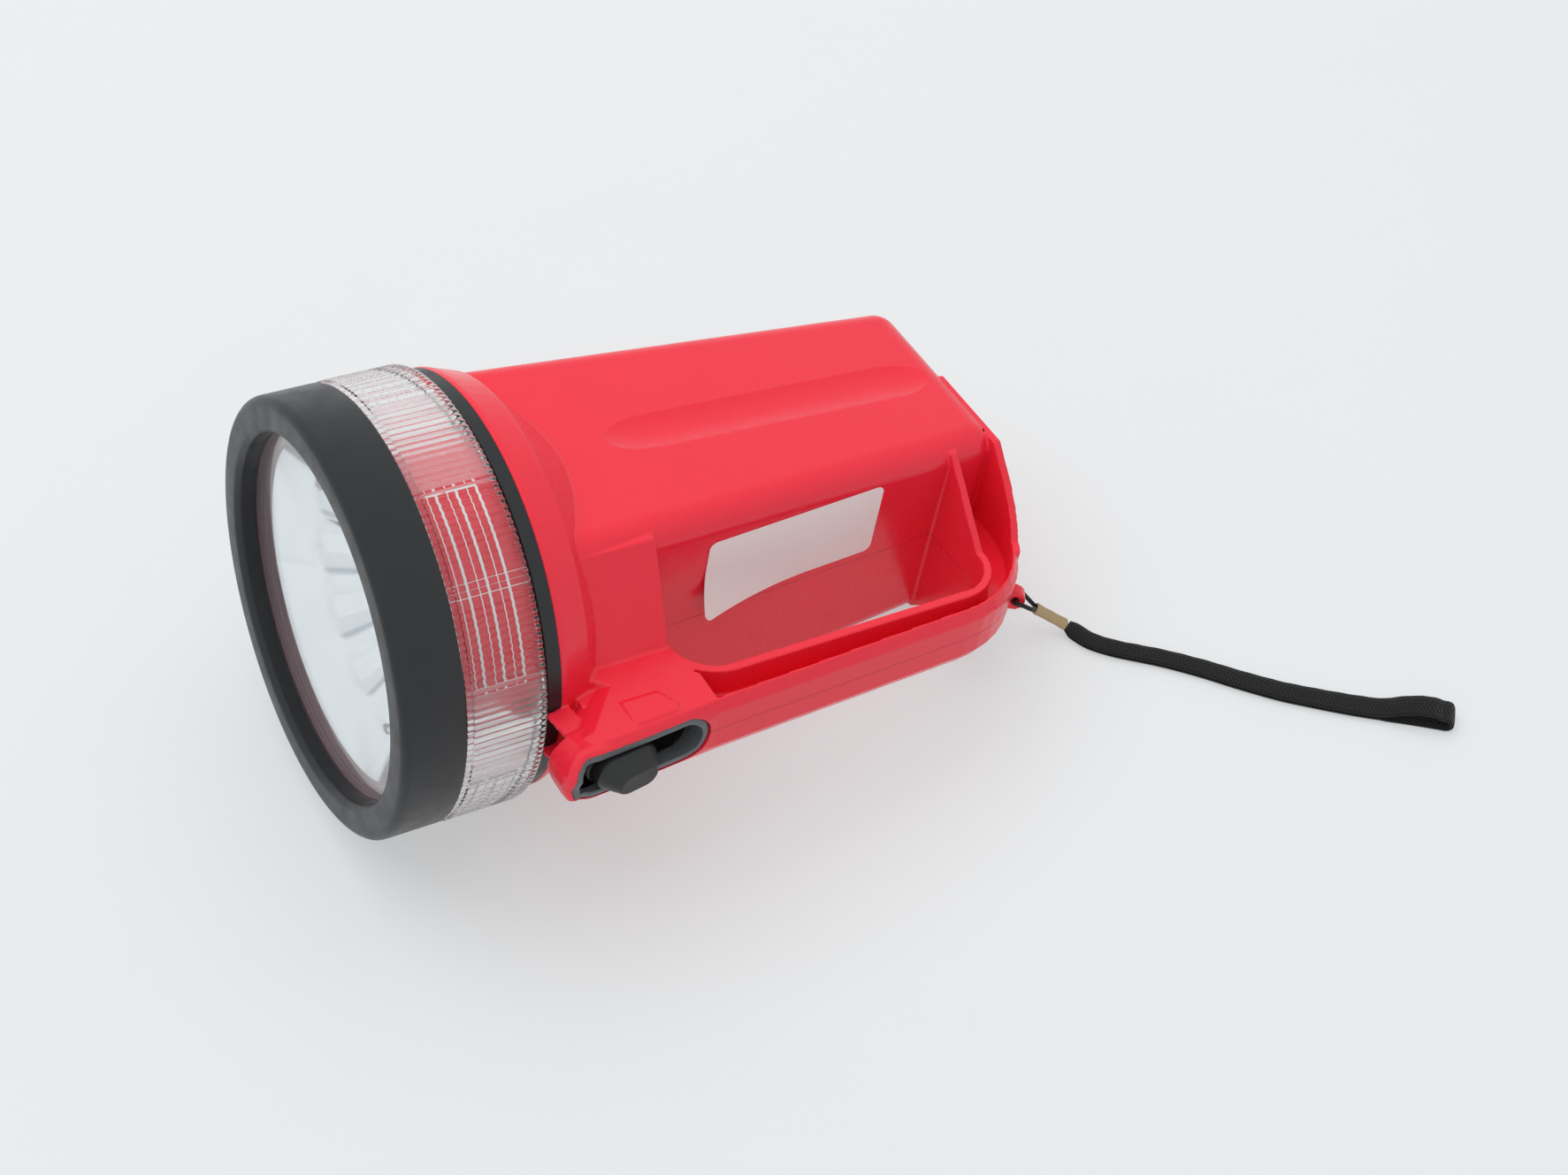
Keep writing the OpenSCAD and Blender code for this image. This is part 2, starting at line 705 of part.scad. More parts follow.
module battery_1() {
    cell(-1, 1, true);
}

module battery_2() {
    cell(1, 1, false);
}

module battery_3() {
    cell(-1, -1, false);
}

module battery_4() {
    cell(1, -1, true);
}

// Conical springs behind the cells
module rear_springs() {
    tip_r = 3.4;
    foot_r = 7.5;
    wire = 0.5;
    color(steel) laid() for (y = [-1, 1]) for (z = [-1, 1])
        translate([0, case_shift + y * cell_off, z * cell_off])
            coil(cell_x1 + seat, rear_strip_x, tip_r, foot_r, wire, 3);
}

// Two strips that join the rear springs in pairs
module rear_bridge_strips() {
    pad = 18;
    color(brass) laid() translate([rear_strip_x, case_shift, 0]) for (y = [-1, 1])
        translate([0, y * cell_off - pad / 2, -cell_off - pad / 2])
            cube([strip_t, pad, 2 * cell_off + pad]);
}

// Square board that carries the rear contacts, notched for the walls under the grooves
module rear_contact_board() {
    half = half_at(rear_board_x1) - case_wall - run;
    bevel = 6;
    outline = [for (a = [0 : 90 : 270]) each [
        [half * cos(a) - (half - bevel) * sin(a), half * sin(a) + (half - bevel) * cos(a)],
        [(half - bevel) * cos(a) - half * sin(a), (half - bevel) * sin(a) + half * cos(a)]]];
    color(board_brown) laid() difference() {
        translate([rear_board_x0, case_shift, 0]) rotate([90, 0, 90]) linear_extrude(board_t) polygon(outline);
        for (side = [-1, 1]) flank_groove(side, groove_wall + run);
    }
}

// Bowl's radius at step i, and its station at radius r, on a parabola
function bowl_r(i) = hub_r + (reflector_r - hub_r) * i / bowl_steps;
function bowl_x(r) = bowl_x1 - reflector_depth * (r * r - hub_r * hub_r)
    / (reflector_r * reflector_r - hub_r * hub_r);

// Reflector: rim in front of the neck, parabolic bowl, hub for the bulb
module reflector() {
    inside = [for (i = [0 : bowl_steps]) [bowl_r(i), bowl_x(bowl_r(i))]];
    outside = [for (i = [bowl_steps : -1 : 1]) [bowl_r(i), bowl_x(bowl_r(i)) + bowl_wall]];
    floor_x = bowl_x1 + hub_floor;
    bore = bulb_sleeve_r + run;
    color(steel) laid() turned(concat(
        [[bore, bowl_x1]], inside,
        [[rim_out, rim_x0], [rim_out, rim_x1], [reflector_r + bowl_wall / 2, rim_x1]], outside,
        [[hub_r, floor_x], [hub_r, hub_x1], [hub_r - hub_wall, hub_x1], [hub_r - hub_wall, floor_x],
            [bore, floor_x]]));
}

// Glass of the bulb, open at its neck
module bulb_glass() {
    foot_x = bulb_x - seat;
    neck_x = foot_x - bulb_neck_len;
    round_x = foot_x - bulb_len + bulb_r;
    side_x = round_x + bulb_r / 2;
    bulb_in = bulb_r - bulb_wall;
    neck_in_r = bulb_neck_r - bulb_wall;
    color(clear) laid() turned(concat(
        arc(0, round_x, bulb_r, -90, 0, 8),
        [[bulb_r, side_x], [bulb_neck_r, neck_x], [bulb_neck_r, foot_x]],
        [[neck_in_r, foot_x], [neck_in_r, neck_x], [bulb_in, side_x]],
        arc(0, round_x, bulb_in, 0, -90, 8)));
}

// Brass base of the bulb: flange on the hub's ledge, sleeve and tip
module bulb_base() {
    flange_x = bulb_x + bulb_flange_t;
    tip_x = bulb_tip_x - bulb_tip_t;
    color(brass) laid() turned([[0, bulb_x], [bulb_flange_r, bulb_x], [bulb_flange_r, flange_x],
        [bulb_sleeve_r, flange_x], [bulb_sleeve_r, tip_x], [bulb_tip_r, tip_x],
        [bulb_tip_r - bulb_tip_t, bulb_tip_x], [0, bulb_tip_x]]);
}

// Filament across two support wires that stand on the base
module bulb_filament() {
    foot = bulb_x - seat;
    top = foot - bulb_len + bulb_r + 1;
    span = bulb_neck_r - bulb_wall - 1.4;
    wire = 0.22;
    coil_r = 0.3;
    color(steel) laid() {
        for (side = [-1, 1]) translate([0, side * span, 0]) rod(wire, top, foot);
        translate([top, -span - wire, 0]) rotate([-90, 0, 0])
            cylinder(r = coil_r, h = 2 * (span + wire), $fn = 24);
    }
}

// Insulating collar that holds the bulb in the hub
module bulb_holder() {
    in = bulb_sleeve_r + seat;
    out = hub_r - hub_wall - seat;
    floor_x = bowl_x1 + hub_floor + seat;
    collar_x0 = hub_x1 + seat;
    collar_x1 = hub_x1 + holder_t;
    collar_r = hub_r + holder_flange;
    color(dark_grey) laid() turned([[in, floor_x], [out, floor_x], [out, collar_x0],
        [collar_r, collar_x0], [collar_r, collar_x1], [in, collar_x1]]);
}

// Clear cup: lens in front, skirt with ribs round the neck
module lens_cup() {
    pitch = 360 / rib_count;
    ribs = [for (i = [0 : rib_count - 1]) each [
        for (k = [[-0.5, 0], [-0.17, 1], [0.17, 1]])
            let (a = (i + k[0]) * pitch, r = skirt_r + k[1] * rib_h) [r * cos(a), r * sin(a)]]];
    skirt_x0 = bezel_len + seat;
    ribs_x0 = skirt_x0 + skirt_lip;
    color(clear) laid() difference() {
        union() {
            rod(cup_front_r, lens_x0 + seat, skirt_x0 + cup_overlap);
            rod(skirt_r - rib_h, skirt_x0, ribs_x0);
            translate([ribs_x0, 0, 0]) rotate([0, 90, 0]) linear_extrude(skirt_x1 - ribs_x0) polygon(ribs);
        }
        rod(cup_in, lens_x1, skirt_x1 + cut);
    }
}

// Rubber bezel that grips the front of the lens cup
module bezel_ring() {
    inner = cup_front_r + seat;
    edge = bezel_rear_edge;
    color(black) laid() turned(concat(
        [[opening_r + lip_edge, lens_x0], [opening_r, lens_x0 - lip_edge], [opening_r, lip_edge],
            [opening_r + lip_edge, 0]],
        arc(bezel_r - bezel_edge, bezel_edge, bezel_edge, -90, 0, 4),
        [[bezel_r, bezel_len - edge], [bezel_r - edge, bezel_len], [inner, bezel_len], [inner, lens_x0]]));
}

// Seal between the lens and the reflector's rim
module lens_seal() {
    x0 = lens_x1 + seat;
    x1 = x0 + seal_t;
    color(black) laid() turned([[seal_in, x0], [seal_out, x0], [seal_out, x1], [seal_in, x1]]);
}

// Knob: an oval stud that narrows to its top, a stem and a skirt that slides under the surround
module switch_knob() {
    stem_w = slot_w - 2 * run;
    skirt_w = pocket_w - 2 * run;
    skirt_top = -surround_t - run;
    skirt_low = base_top + strip_t + run + strip_t;
    color(black) laid() on_switch() translate([knob_rest, 0, 0]) {
        oval(knob_skirt, skirt_w, skirt_low, skirt_top);
        oval(knob_foot, stem_w, skirt_top - seat, -knob_root);
        hull() {
            oval(knob_foot, stem_w, -knob_root - seat, -knob_root, $fn = 32);
            oval(knob_len, knob_w, knob_h - knob_edge, knob_h - knob_edge / 2, $fn = 32);
            oval(knob_len - knob_edge, knob_w - knob_edge, knob_h - seat, knob_h, $fn = 32);
        }
    }
}

// Bridge under the knob that joins the two fixed contacts
module slider_contact() {
    wide = 2 * lead_off + contact_w;
    color(brass) laid() on_switch()
        translate([knob_rest - slider_len / 2, -wide / 2, base_top + strip_t + run])
            cube([slider_len, wide, strip_t]);
}

// Cord of the strap: from the ferrule through the eye and back
module strap_cord() {
    eye = [for (s = cord_eye) lug_point(s)];
    axis = unit(ferrule_b - ferrule_a);
    side = unit(cross(axis, [0, 0, 1])) * (cord_r + cord_gap / 2);
    start = ferrule_a - cord_gap / 6 * axis;
    lead = start - cord_lead * axis;
    route = concat([start - side, lead - side], cord_near, eye, cord_far, [lead + side, start + side]);
    size = [for (p = route) cord_r];
    color(black) swept(route, [for (p = route) [0.2, 0.1, 1]], size, size, 8);
}

// Point on the eye's axis, s along it, in the frame of the part that lies down
function lug_point(s) =
    let (r = rear_r + eye_out, ca = cos(lug_angle), sa = sin(lug_angle),
        x = corner_x + r * ca + s * sa, y = -corner_v - r * sa + s * ca)
    [x * cos(tilt) + lug_z * sin(tilt) - mid_x, y - mid_y, lug_z * cos(tilt) - x * sin(tilt) + lift];

// Crimped metal ferrule that joins the cord to the band
module strap_ferrule() {
    axis = ferrule_b - ferrule_a;
    color(brass) translate(ferrule_a)
        rotate([0, acos(axis[2] / norm(axis)), atan2(axis[1], axis[0])])
            cylinder(r = ferrule_r, h = norm(axis), $fn = 32);
}

// Folded band on the floor; its end opens into a narrow loop
module strap_band() {
    last = len(band_route) - 1;
    folded = last - len(band_end);
    wide = [for (i = [0 : last]) i < len(band_start) ? band_start[i] : band_w / 2];
    tall = [for (i = [0 : last]) i <= folded ? band_t / 2 : band_end[i - folded - 1]];
    color(black) swept(band_route, [for (p = band_route) [0, 0, 1]], wide, tall, 8);
}

body_shell();
neck_gasket();
switch_bezel();
switch_base();
switch_contacts();
lead_strips();
front_contact_board();
board_screws();
front_bridge_strips();
lamp_spring();
battery_1();
battery_2();
battery_3();
battery_4();
rear_springs();
rear_bridge_strips();
rear_contact_board();
reflector();
bulb_glass();
bulb_base();
bulb_filament();
bulb_holder();
lens_cup();
bezel_ring();
lens_seal();
switch_knob();
slider_contact();
strap_cord();
strap_ferrule();
strap_band();
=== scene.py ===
import json
import math

import bmesh
import bpy
from bpy.props import FloatProperty, FloatVectorProperty, IntProperty, PointerProperty
from bpy.types import Operator, Panel, PropertyGroup
from mathutils import Matrix, Vector
from mathutils.bvhtree import BVHTree


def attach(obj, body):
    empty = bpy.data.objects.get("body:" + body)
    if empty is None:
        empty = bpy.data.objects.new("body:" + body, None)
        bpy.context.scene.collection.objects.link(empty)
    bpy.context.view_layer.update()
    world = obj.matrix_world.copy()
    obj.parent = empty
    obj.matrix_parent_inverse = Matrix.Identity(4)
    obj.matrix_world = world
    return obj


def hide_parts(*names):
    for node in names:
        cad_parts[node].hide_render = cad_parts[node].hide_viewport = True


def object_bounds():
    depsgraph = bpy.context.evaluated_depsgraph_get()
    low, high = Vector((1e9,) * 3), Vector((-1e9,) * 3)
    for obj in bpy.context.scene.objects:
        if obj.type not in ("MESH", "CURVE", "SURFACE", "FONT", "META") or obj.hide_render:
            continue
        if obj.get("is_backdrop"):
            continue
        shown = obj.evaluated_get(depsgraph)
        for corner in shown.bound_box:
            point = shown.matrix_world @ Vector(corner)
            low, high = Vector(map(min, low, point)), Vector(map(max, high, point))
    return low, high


bl_info = {
    "name": "Hand Lantern Finishes",
    "version": (1, 0, 0),
    "blender": (4, 5, 0),
    "location": "3D View > Sidebar > Lantern",
    "description": "Dresses the packed hand lantern with its finishes, strap, stage and camera",
    "category": "Object",
}

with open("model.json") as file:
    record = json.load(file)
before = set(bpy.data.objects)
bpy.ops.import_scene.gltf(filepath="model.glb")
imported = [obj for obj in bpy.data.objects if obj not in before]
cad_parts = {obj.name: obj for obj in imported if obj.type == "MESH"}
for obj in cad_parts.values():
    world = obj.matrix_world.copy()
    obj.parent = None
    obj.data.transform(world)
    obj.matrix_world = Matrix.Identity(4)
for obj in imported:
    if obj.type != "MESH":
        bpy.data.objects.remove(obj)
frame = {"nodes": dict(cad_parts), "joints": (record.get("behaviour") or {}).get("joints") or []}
CAD_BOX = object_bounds()
NODES = frame["nodes"]
MM = 0.001

# The light frame: x runs back from the bezel, the grip is on the -y side, z is the upper flank
HEAD_JOINT = next(j for j in frame["joints"] if j["name"] == "head_screw")
SLIDE_JOINT = next(j for j in frame["joints"] if j["name"] == "switch_slide")
BACK = -Vector(HEAD_JOINT["axis"]).normalized()
SIDE = Vector((0, 1, 0))
LIGHT = Matrix((BACK, SIDE, BACK.cross(SIDE))).transposed().to_4x4()
LIGHT.translation = Vector(HEAD_JOINT["pos_m"])
TO_LIGHT = LIGHT.inverted()

# Routes of the strap in the shared frame, as the CAD part has them
FERRULE = [Vector((0.104, -0.0425, 0.0095)), Vector((0.1115, -0.048, 0.0032))]
CORD_ROUTE = [
    Vector(p) * MM
    for p in (
        (103.4, -41.3, 11.2), (101.2, -40.4, 15), (98.8, -40.9, 19.4), (96.6, -42.4, 22.8),
        (94.9, -43.9, 24.1), (93.5, -46.1, 24.3), (92.2, -48.3, 24.6),
        (94, -50, 24), (96.2, -50.4, 21.8), (99, -48.4, 17.8), (101.7, -45.3, 13.2), (103, -43.3, 10.6),
    )
]
BAND_ROUTE = [
    Vector(p) * MM
    for p in (
        (111.9, -48.3, 2.9), (113.4, -51.4, 1.7), (115.4, -56, 1.4), (119.5, -61.4, 1.4),
        (124, -66, 1.4), (129, -71, 1.4), (134, -76.6, 1.4), (138.6, -82.2, 1.4), (143, -88, 1.4),
        (147.5, -93.6, 1.4), (152, -98.9, 1.4), (157, -104, 1.4), (162, -108.9, 1.4),
        (167, -113.6, 1.4), (172, -118, 1.5), (176.6, -121.8, 1.9), (180.8, -125.4, 2.5),
        (184, -128.2, 2.8), (186, -130, 2.4),
    )
]


def srgb(red, green, blue):
    """A colour as a photograph shows it, 0 to 255, as the linear colour that Blender keeps."""
    return tuple(
        c / 12.92 if c <= 0.04045 else ((c + 0.055) / 1.055) ** 2.4
        for c in (red / 255, green / 255, blue / 255)
    )


def length(name, default, description):
    """A size in metres."""
    return FloatProperty(name=name, description=description, default=default, unit="LENGTH", precision=5)


def spot(name, default, description):
    """A place in metres."""
    return FloatVectorProperty(name=name, description=description, default=default, subtype="XYZ_LENGTH")


def angle(name, degrees, description):
    """A turn, written in degrees."""
    return FloatProperty(name=name, description=description, default=math.radians(degrees), subtype="ANGLE")


def level(name, default, description):
    """A strength, a share or another plain number."""
    return FloatProperty(name=name, description=description, default=default)


def count(name, default, description):
    """A whole number."""
    return IntProperty(name=name, description=description, default=default)


def tint(name, default, description):
    """A colour."""
    return FloatVectorProperty(
        name=name, description=description, default=default, subtype="COLOR", size=3, min=0, max=1
    )


class LanternSizes(PropertyGroup):
    """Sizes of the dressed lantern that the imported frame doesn't give"""

    camera_place: spot("Camera Place", (-0.1884, -0.4105, 0.5612), "Where the camera stands")
    camera_target: spot("Camera Target", (0.0488, 0.0083, 0.0), "Point of the floor in the picture's middle")
    camera_roll: angle("Camera Roll", -0.56, "Turn of the camera about its line of sight")
    camera_lens: level("Camera Lens", 56.85, "Focal length in millimetres")
    floor_half: length("Floor Half", 3, "Half the width of the floor")
    floor_drop: length("Floor Drop", 0.0002, "How far the floor lies below the lantern")
    floor_veil: level("Floor Veil", 0.52, "Share of the backdrop's colour that the floor shows")
    sky_level: level("Sky Level", 0.74, "Strength of the light all round")
    box_power: level("Box Power", 10.5, "Watts of the soft box overhead")
    box_side: length("Box Side", 1.6, "Width of the soft box")
    box_place: spot("Box Place", (-0.1, 0.3, 1.25), "Where the soft box hangs")
    box_target: spot("Box Target", (0, 0, 0.03), "Where the soft box points")
    case_grid: length("Case Grid", 0.0004, "Grid of the softened case")
    case_soften: count("Case Softening", 5, "Smoothing steps that round the case's edges")
    groove_front: length("Groove Front", 0.083, "Station of the flank groove's front tip")
    groove_rear: length("Groove Rear", 0.1875, "Station of the flank groove's rear tip")
    groove_radius: length("Groove Radius", 0.0169, "Radius of the flank groove's section")
    groove_tip: length("Groove Tip", 0.036, "Half length of the drop that ends the groove")
    groove_depth: length("Groove Depth", 0.0015, "Depth of the flank groove")
    switch_grid: length("Switch Grid", 0.00024, "Grid of the softened switch pieces")
    switch_soften: count("Switch Softening", 6, "Smoothing steps that round the knob's edges")
    bezel_edge: length("Bezel Edge", 0.0026, "Rounding of the bezel's front edge")
    bezel_heel: length("Bezel Heel", 0.0008, "Rounding of the bezel's rear edge")
    bezel_slope: length("Bezel Slope", 0.0016, "Width of the slope inside the bezel's front")
    bezel_slope_depth: length("Bezel Slope Depth", 0.0014, "Depth of the slope inside the bezel's front")
    bezel_slope_edge: length("Bezel Slope Edge", 0.0005, "Rounding of that slope's edges")
    fit_gap: length("Fit Gap", 0.0001, "Gap between the bezel and the lens cup")
    rib_count: count("Ribs", 180, "Ribs round the clear skirt")
    rib_height: length("Rib Height", 0.0006, "Height of a rib of the clear skirt")
    skirt_lip: length("Skirt Lip", 0.0016, "Plain lip at the front of the clear skirt")
    skirt_chamfer: length("Skirt Chamfer", 0.0005, "Chamfer of the clear skirt's rear edge")
    skirt_bore: length("Skirt Bore", 0.0541, "Inner radius of the clear skirt")
    lens_back: length("Lens Back", 0.0077, "Station of the lens's rear face")
    thread_width: length("Thread Width", 0.0018, "Width of a thread ridge inside the skirt")
    thread_line: length("Thread Line", 0.00036, "Width of the bright edge of a thread ridge")
    thread_bold: level("Thread Bold", 2.4, "How many times wider a ridge's rear edge is")
    thread_pitch: length("Thread Pitch", 0.0054, "Distance between the thread ridges")
    thread_start: length("Thread Start", 0.0058, "Distance from the skirt's rear edge to the first ridge")
    window_half: angle("Window Half", 27, "Half the angle over which a thread ridge runs")
    bowl_radius: length("Bowl Radius", 0.048, "Radius of the reflector's opening")
    bowl_depth: length("Bowl Depth", 0.027, "Depth of the reflector's bowl")
    hub_radius: length("Hub Radius", 0.0084, "Radius of the reflector's hub")
    bowl_wall: length("Bowl Wall", 0.0014, "Wall of the reflector")
    rim_wall: length("Rim Wall", 0.0012, "Wall of the reflector's rim and of its neck")
    bulb_bore: length("Bulb Bore", 0.0047, "Radius of the hole for the bulb")
    petal_count: count("Petals", 12, "Hollow petals round the reflector")
    petal_depth: length("Petal Depth", 0.0016, "Depth of a petal of the reflector")
    sticker_place: spot("Sticker Place", (0.1255, -0.05, 0.015), "Sticker's middle in the light frame")
    sticker_length: length("Sticker Length", 0.057, "Length of the blank sticker")
    sticker_height: length("Sticker Height", 0.024, "Height of the blank sticker")
    sticker_corner: length("Sticker Corner", 0.0022, "Rounding of the sticker's corners")
    sticker_film: length("Sticker Film", 0.00018, "Thickness of the sticker")
    sticker_lift: length("Sticker Lift", 0.0055, "How far the sticker's loose corner stands off")
    switch_place: spot("Switch Place", (0.0588, -0.07732, 0.0), "Top of the oval's crown in the light frame")
    crown_radius: length("Crown Radius", 0.0072, "Radius at which the surround's crown is measured")
    oval_radius: length("Oval Radius", 0.0079, "Radius of the switch surround's ends")
    oval_straight: length("Oval Straight", 0.0266, "Length of the switch surround's straight sides")
    slot_radius: length("Slot Radius", 0.00555, "Radius of the ends of the surround's slot")
    recess_depth: length("Recess Depth", 0.00505, "Depth of the recess that holds the surround")
    pocket_depth: length("Pocket Depth", 0.0155, "Depth of the pocket under the switch")
    cord_diameter: length("Cord Diameter", 0.0014, "Diameter of the strap's cord")
    strand_half: length("Strand Half", 0.00085, "Half the distance of the cord's strands in the ferrule")
    band_width: length("Band Width", 0.0066, "Width of the strap's woven band")
    band_thickness: length("Band Thickness", 0.00115, "Thickness of one layer of the band")


class LanternColours(PropertyGroup):
    """Colours of the dressed lantern"""

    case_red: tint("Case Red", srgb(241, 38, 60), "Moulded case")
    rubber_black: tint("Rubber Black", srgb(25, 26, 29), "Bezel and gasket")
    clear: tint("Clear", (0.96, 0.975, 0.98), "Lens cup")
    mirror: tint("Mirror", srgb(246, 249, 252), "Reflector's coating")
    # Painted shade and painted reflection: the grey that darkens the ridge lines and one side of each
    # reflector petal
    petal_shade_grey: tint("Ridge Grey", srgb(166, 174, 187), "Ridges between the reflector's petals")
    seal_brown: tint("Seal Brown", srgb(172, 144, 149), "Band between the lens and the reflector")
    knob_black: tint("Knob Black", srgb(27, 28, 29), "Switch knob")
    surround_grey: tint("Surround Grey", srgb(94, 97, 100), "Switch surround")
    sticker_white: tint("Sticker White", srgb(246, 244, 243), "Blank sticker")
    strap_black: tint("Strap Black", srgb(17, 17, 19), "Cord and band of the strap")
    ferrule_metal: tint("Ferrule Metal", srgb(176, 152, 116), "Crimped ferrule")
    brass: tint("Brass", srgb(205, 170, 98), "Contacts and the bulb's base")
    steel: tint("Steel", srgb(196, 198, 200), "Springs and screws")
    board: tint("Board", srgb(112, 74, 42), "Contact boards")
    cell: tint("Cell", srgb(46, 56, 92), "Cells")
    floor: tint("Floor", srgb(232, 235, 236), "Floor")
    backdrop: tint("Backdrop", srgb(234, 237, 238), "What surrounds the floor")


def node_points(node):
    """The points of a CAD node in the light frame."""
    return [TO_LIGHT @ v.co for v in NODES[node].data.vertices]


def node_reach(node):
    """First and last station of a CAD node along the light axis, and its largest radius round it."""
    points = node_points(node)
    return (
        min(p.x for p in points),
        max(p.x for p in points),
        max(math.hypot(p.y, p.z) for p in points),
    )


def merged(node):
    """A bmesh copy of a CAD node with its loose triangles joined, in the light frame."""
    bm = bmesh.new()
    bm.from_mesh(NODES[node].data)
    bmesh.ops.remove_doubles(bm, verts=bm.verts, dist=2e-6)
    bmesh.ops.transform(bm, matrix=TO_LIGHT, verts=bm.verts)
    return bm


def placed(bm, name, finish, body, stands_for=(), matrix=LIGHT, crease=35):
    """Turns a bmesh into a finished piece: moved to its place, shaded, and riding on its body."""
    bmesh.ops.transform(bm, matrix=matrix, verts=bm.verts)
    mesh = bpy.data.meshes.new(name)
    bm.to_mesh(mesh)
    bm.free()
    mesh.shade_smooth()
    mesh.set_sharp_from_angle(angle=math.radians(crease))
    mesh.materials.append(finish)
    piece = bpy.data.objects.new(name, mesh)
    bpy.context.scene.collection.objects.link(piece)
    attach(piece, body)
    if stands_for:
        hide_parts(*stands_for)
    return piece


def dressed(node, finish):
    """Gives a CAD node that is shown as it is its finish."""
    mesh = NODES[node].data
    mesh.materials.clear()
    mesh.materials.append(finish)


def baked(piece):
    """Applies a piece's modifiers to its mesh."""
    bpy.context.view_layer.update()
    shown = piece.evaluated_get(bpy.context.evaluated_depsgraph_get())
    mesh = bpy.data.meshes.new_from_object(shown)
    piece.modifiers.clear()
    piece.data = mesh


def eased(t):
    """A soft step from 0 to 1."""
    t = min(1.0, max(0.0, t))
    return t * t * (3 - 2 * t)


# Shares of the grid: nearer than the first a softened point returns to the CAD, past the second it stays
FLAT_FROM = 0.1
FLAT_TO = 0.4


def softened(shape, node, name, finish, body, grid, steps, most=190000):
    """A CAD node's copy with rounded edges: laid on a fine grid in the light frame and smoothed there."""
    sharp = BVHTree.FromBMesh(shape)
    piece = placed(shape, name, finish, body, [node], Matrix.Identity(4))
    coarse = 1
    remesh = piece.modifiers.new("grid", "REMESH")
    remesh.mode = "VOXEL"
    remesh.voxel_size = grid * coarse
    soft = piece.modifiers.new("soften", "SMOOTH")
    soft.factor = 0.5
    soft.iterations = max(2, steps // coarse**2)
    baked(piece)
    triangles = 2 * len(piece.data.polygons)
    if triangles > most:
        thin = piece.modifiers.new("thin", "DECIMATE")
        thin.ratio = most / triangles
        baked(piece)
    for v in piece.data.vertices:
        near, _, _, off = sharp.find_nearest(v.co, grid)
        if near:
            v.co = v.co.lerp(near, 1 - eased((off / grid - FLAT_FROM) / (FLAT_TO - FLAT_FROM)))
    piece.data.transform(LIGHT)
    piece.data.shade_smooth()
    return piece


def carved(piece, tool_shape, name):
    """Cuts a closed shape out of a piece with a clean edge and uses the shape up."""
    mesh = bpy.data.meshes.new(name)
    tool_shape.to_mesh(mesh)
    tool_shape.free()
    tool = bpy.data.objects.new(name, mesh)
    bpy.context.scene.collection.objects.link(tool)
    cut = piece.modifiers.new(name, "BOOLEAN")
    cut.operation = "DIFFERENCE"
    cut.object = tool
    baked(piece)
    bpy.data.objects.remove(tool)
    bpy.data.meshes.remove(mesh)


def creased(case, sizes):
    """Keeps cut edges crisp: steep ones anywhere, and the shallow rims of the flank grooves."""
    steep, shallow = math.radians(50), math.radians(7)
    groove_half, flank_height = 9 * MM, 25 * MM
    case.data.set_sharp_from_angle(angle=steep)
    bm = bmesh.new()
    bm.from_mesh(case.data)
    for edge in bm.edges:
        p = TO_LIGHT @ edge.verts[0].co
        along = sizes.groove_front - MM < p.x < sizes.groove_rear + MM
        flank = along and abs(p.y) < groove_half and abs(p.z) > flank_height
        if flank and edge.is_manifold and edge.calc_face_angle() > shallow:
            edge.smooth = False
    bm.to_mesh(case.data)
    bm.free()


def tidied(bm):
    """Joins a closed shape's doubles and turns its faces outwards."""
    bmesh.ops.remove_doubles(bm, verts=bm.verts, dist=1e-6)
    bmesh.ops.recalc_face_normals(bm, faces=bm.faces)
    return bm


def turned(profile, steps):
    """Spins a closed profile of (station, radius) points round the light axis."""
    bm = bmesh.new()
    verts = [bm.verts.new((x, 0, r)) for x, r in profile]
    edges = [bm.edges.new((a, b)) for a, b in zip(verts, verts[1:])]
    if min(profile[0][1], profile[-1][1]) > 0:
        edges.append(bm.edges.new((verts[-1], verts[0])))
    bmesh.ops.spin(
        bm,
        geom=verts + edges,
        cent=(0, 0, 0),
        axis=(1, 0, 0),
        dvec=(0, 0, 0),
        angle=math.tau,
        steps=steps,
        use_merge=True,
        use_normal_flip=False,
        use_duplicate=False,
    )
    return tidied(bm)


def hoop_edges(bm, x, r, near=2e-5):
    """The edges of a turned shape that go round at one station and radius."""
    on = {v for v in bm.verts if abs(v.co.x - x) < near and abs(math.hypot(v.co.y, v.co.z) - r) < near}
    return [e for e in bm.edges if e.verts[0] in on and e.verts[1] in on]


def rounded(bm, edges, width, segments=4):
    """Rounds edges."""
    bmesh.ops.bevel(
        bm,
        geom=edges,
        offset=width,
        segments=segments,
        profile=0.5,
        affect="EDGES",
        material=-1,
        clamp_overlap=True,
    )


def smooth_route(points, between):
    """More points on a smooth curve through a route's points."""
    ends = [2 * points[0] - points[1], *points, 2 * points[-1] - points[-2]]
    route = []
    for a, b, c, d in zip(ends, ends[1:], ends[2:], ends[3:]):
        for i in range(between):
            t = i / between
            curve = (2 * a - 5 * b + 4 * c - d) * t**2 + (3 * b - a - 3 * c + d) * t**3
            route.append(0.5 * (2 * b + (c - a) * t + curve))
    return route + [points[-1]]


def station(place, along, side):
    """The matrix of a swept ring: x across it, y through its thickness, z along the sweep."""
    z = along.normalized()
    x = (side - side.dot(z) * z).normalized()
    return Matrix.Translation(place) @ Matrix((x, z.cross(x), z)).transposed().to_4x4()


def extruded(bm, edges):
    """Extrudes a loop of edges in place; returns the new points and edges."""
    made = bmesh.ops.extrude_edge_only(bm, edges=edges)["geom"]
    verts = [g for g in made if isinstance(g, bmesh.types.BMVert)]
    new = set(verts)
    return verts, [g for g in made if isinstance(g, bmesh.types.BMEdge) and set(g.verts) <= new]


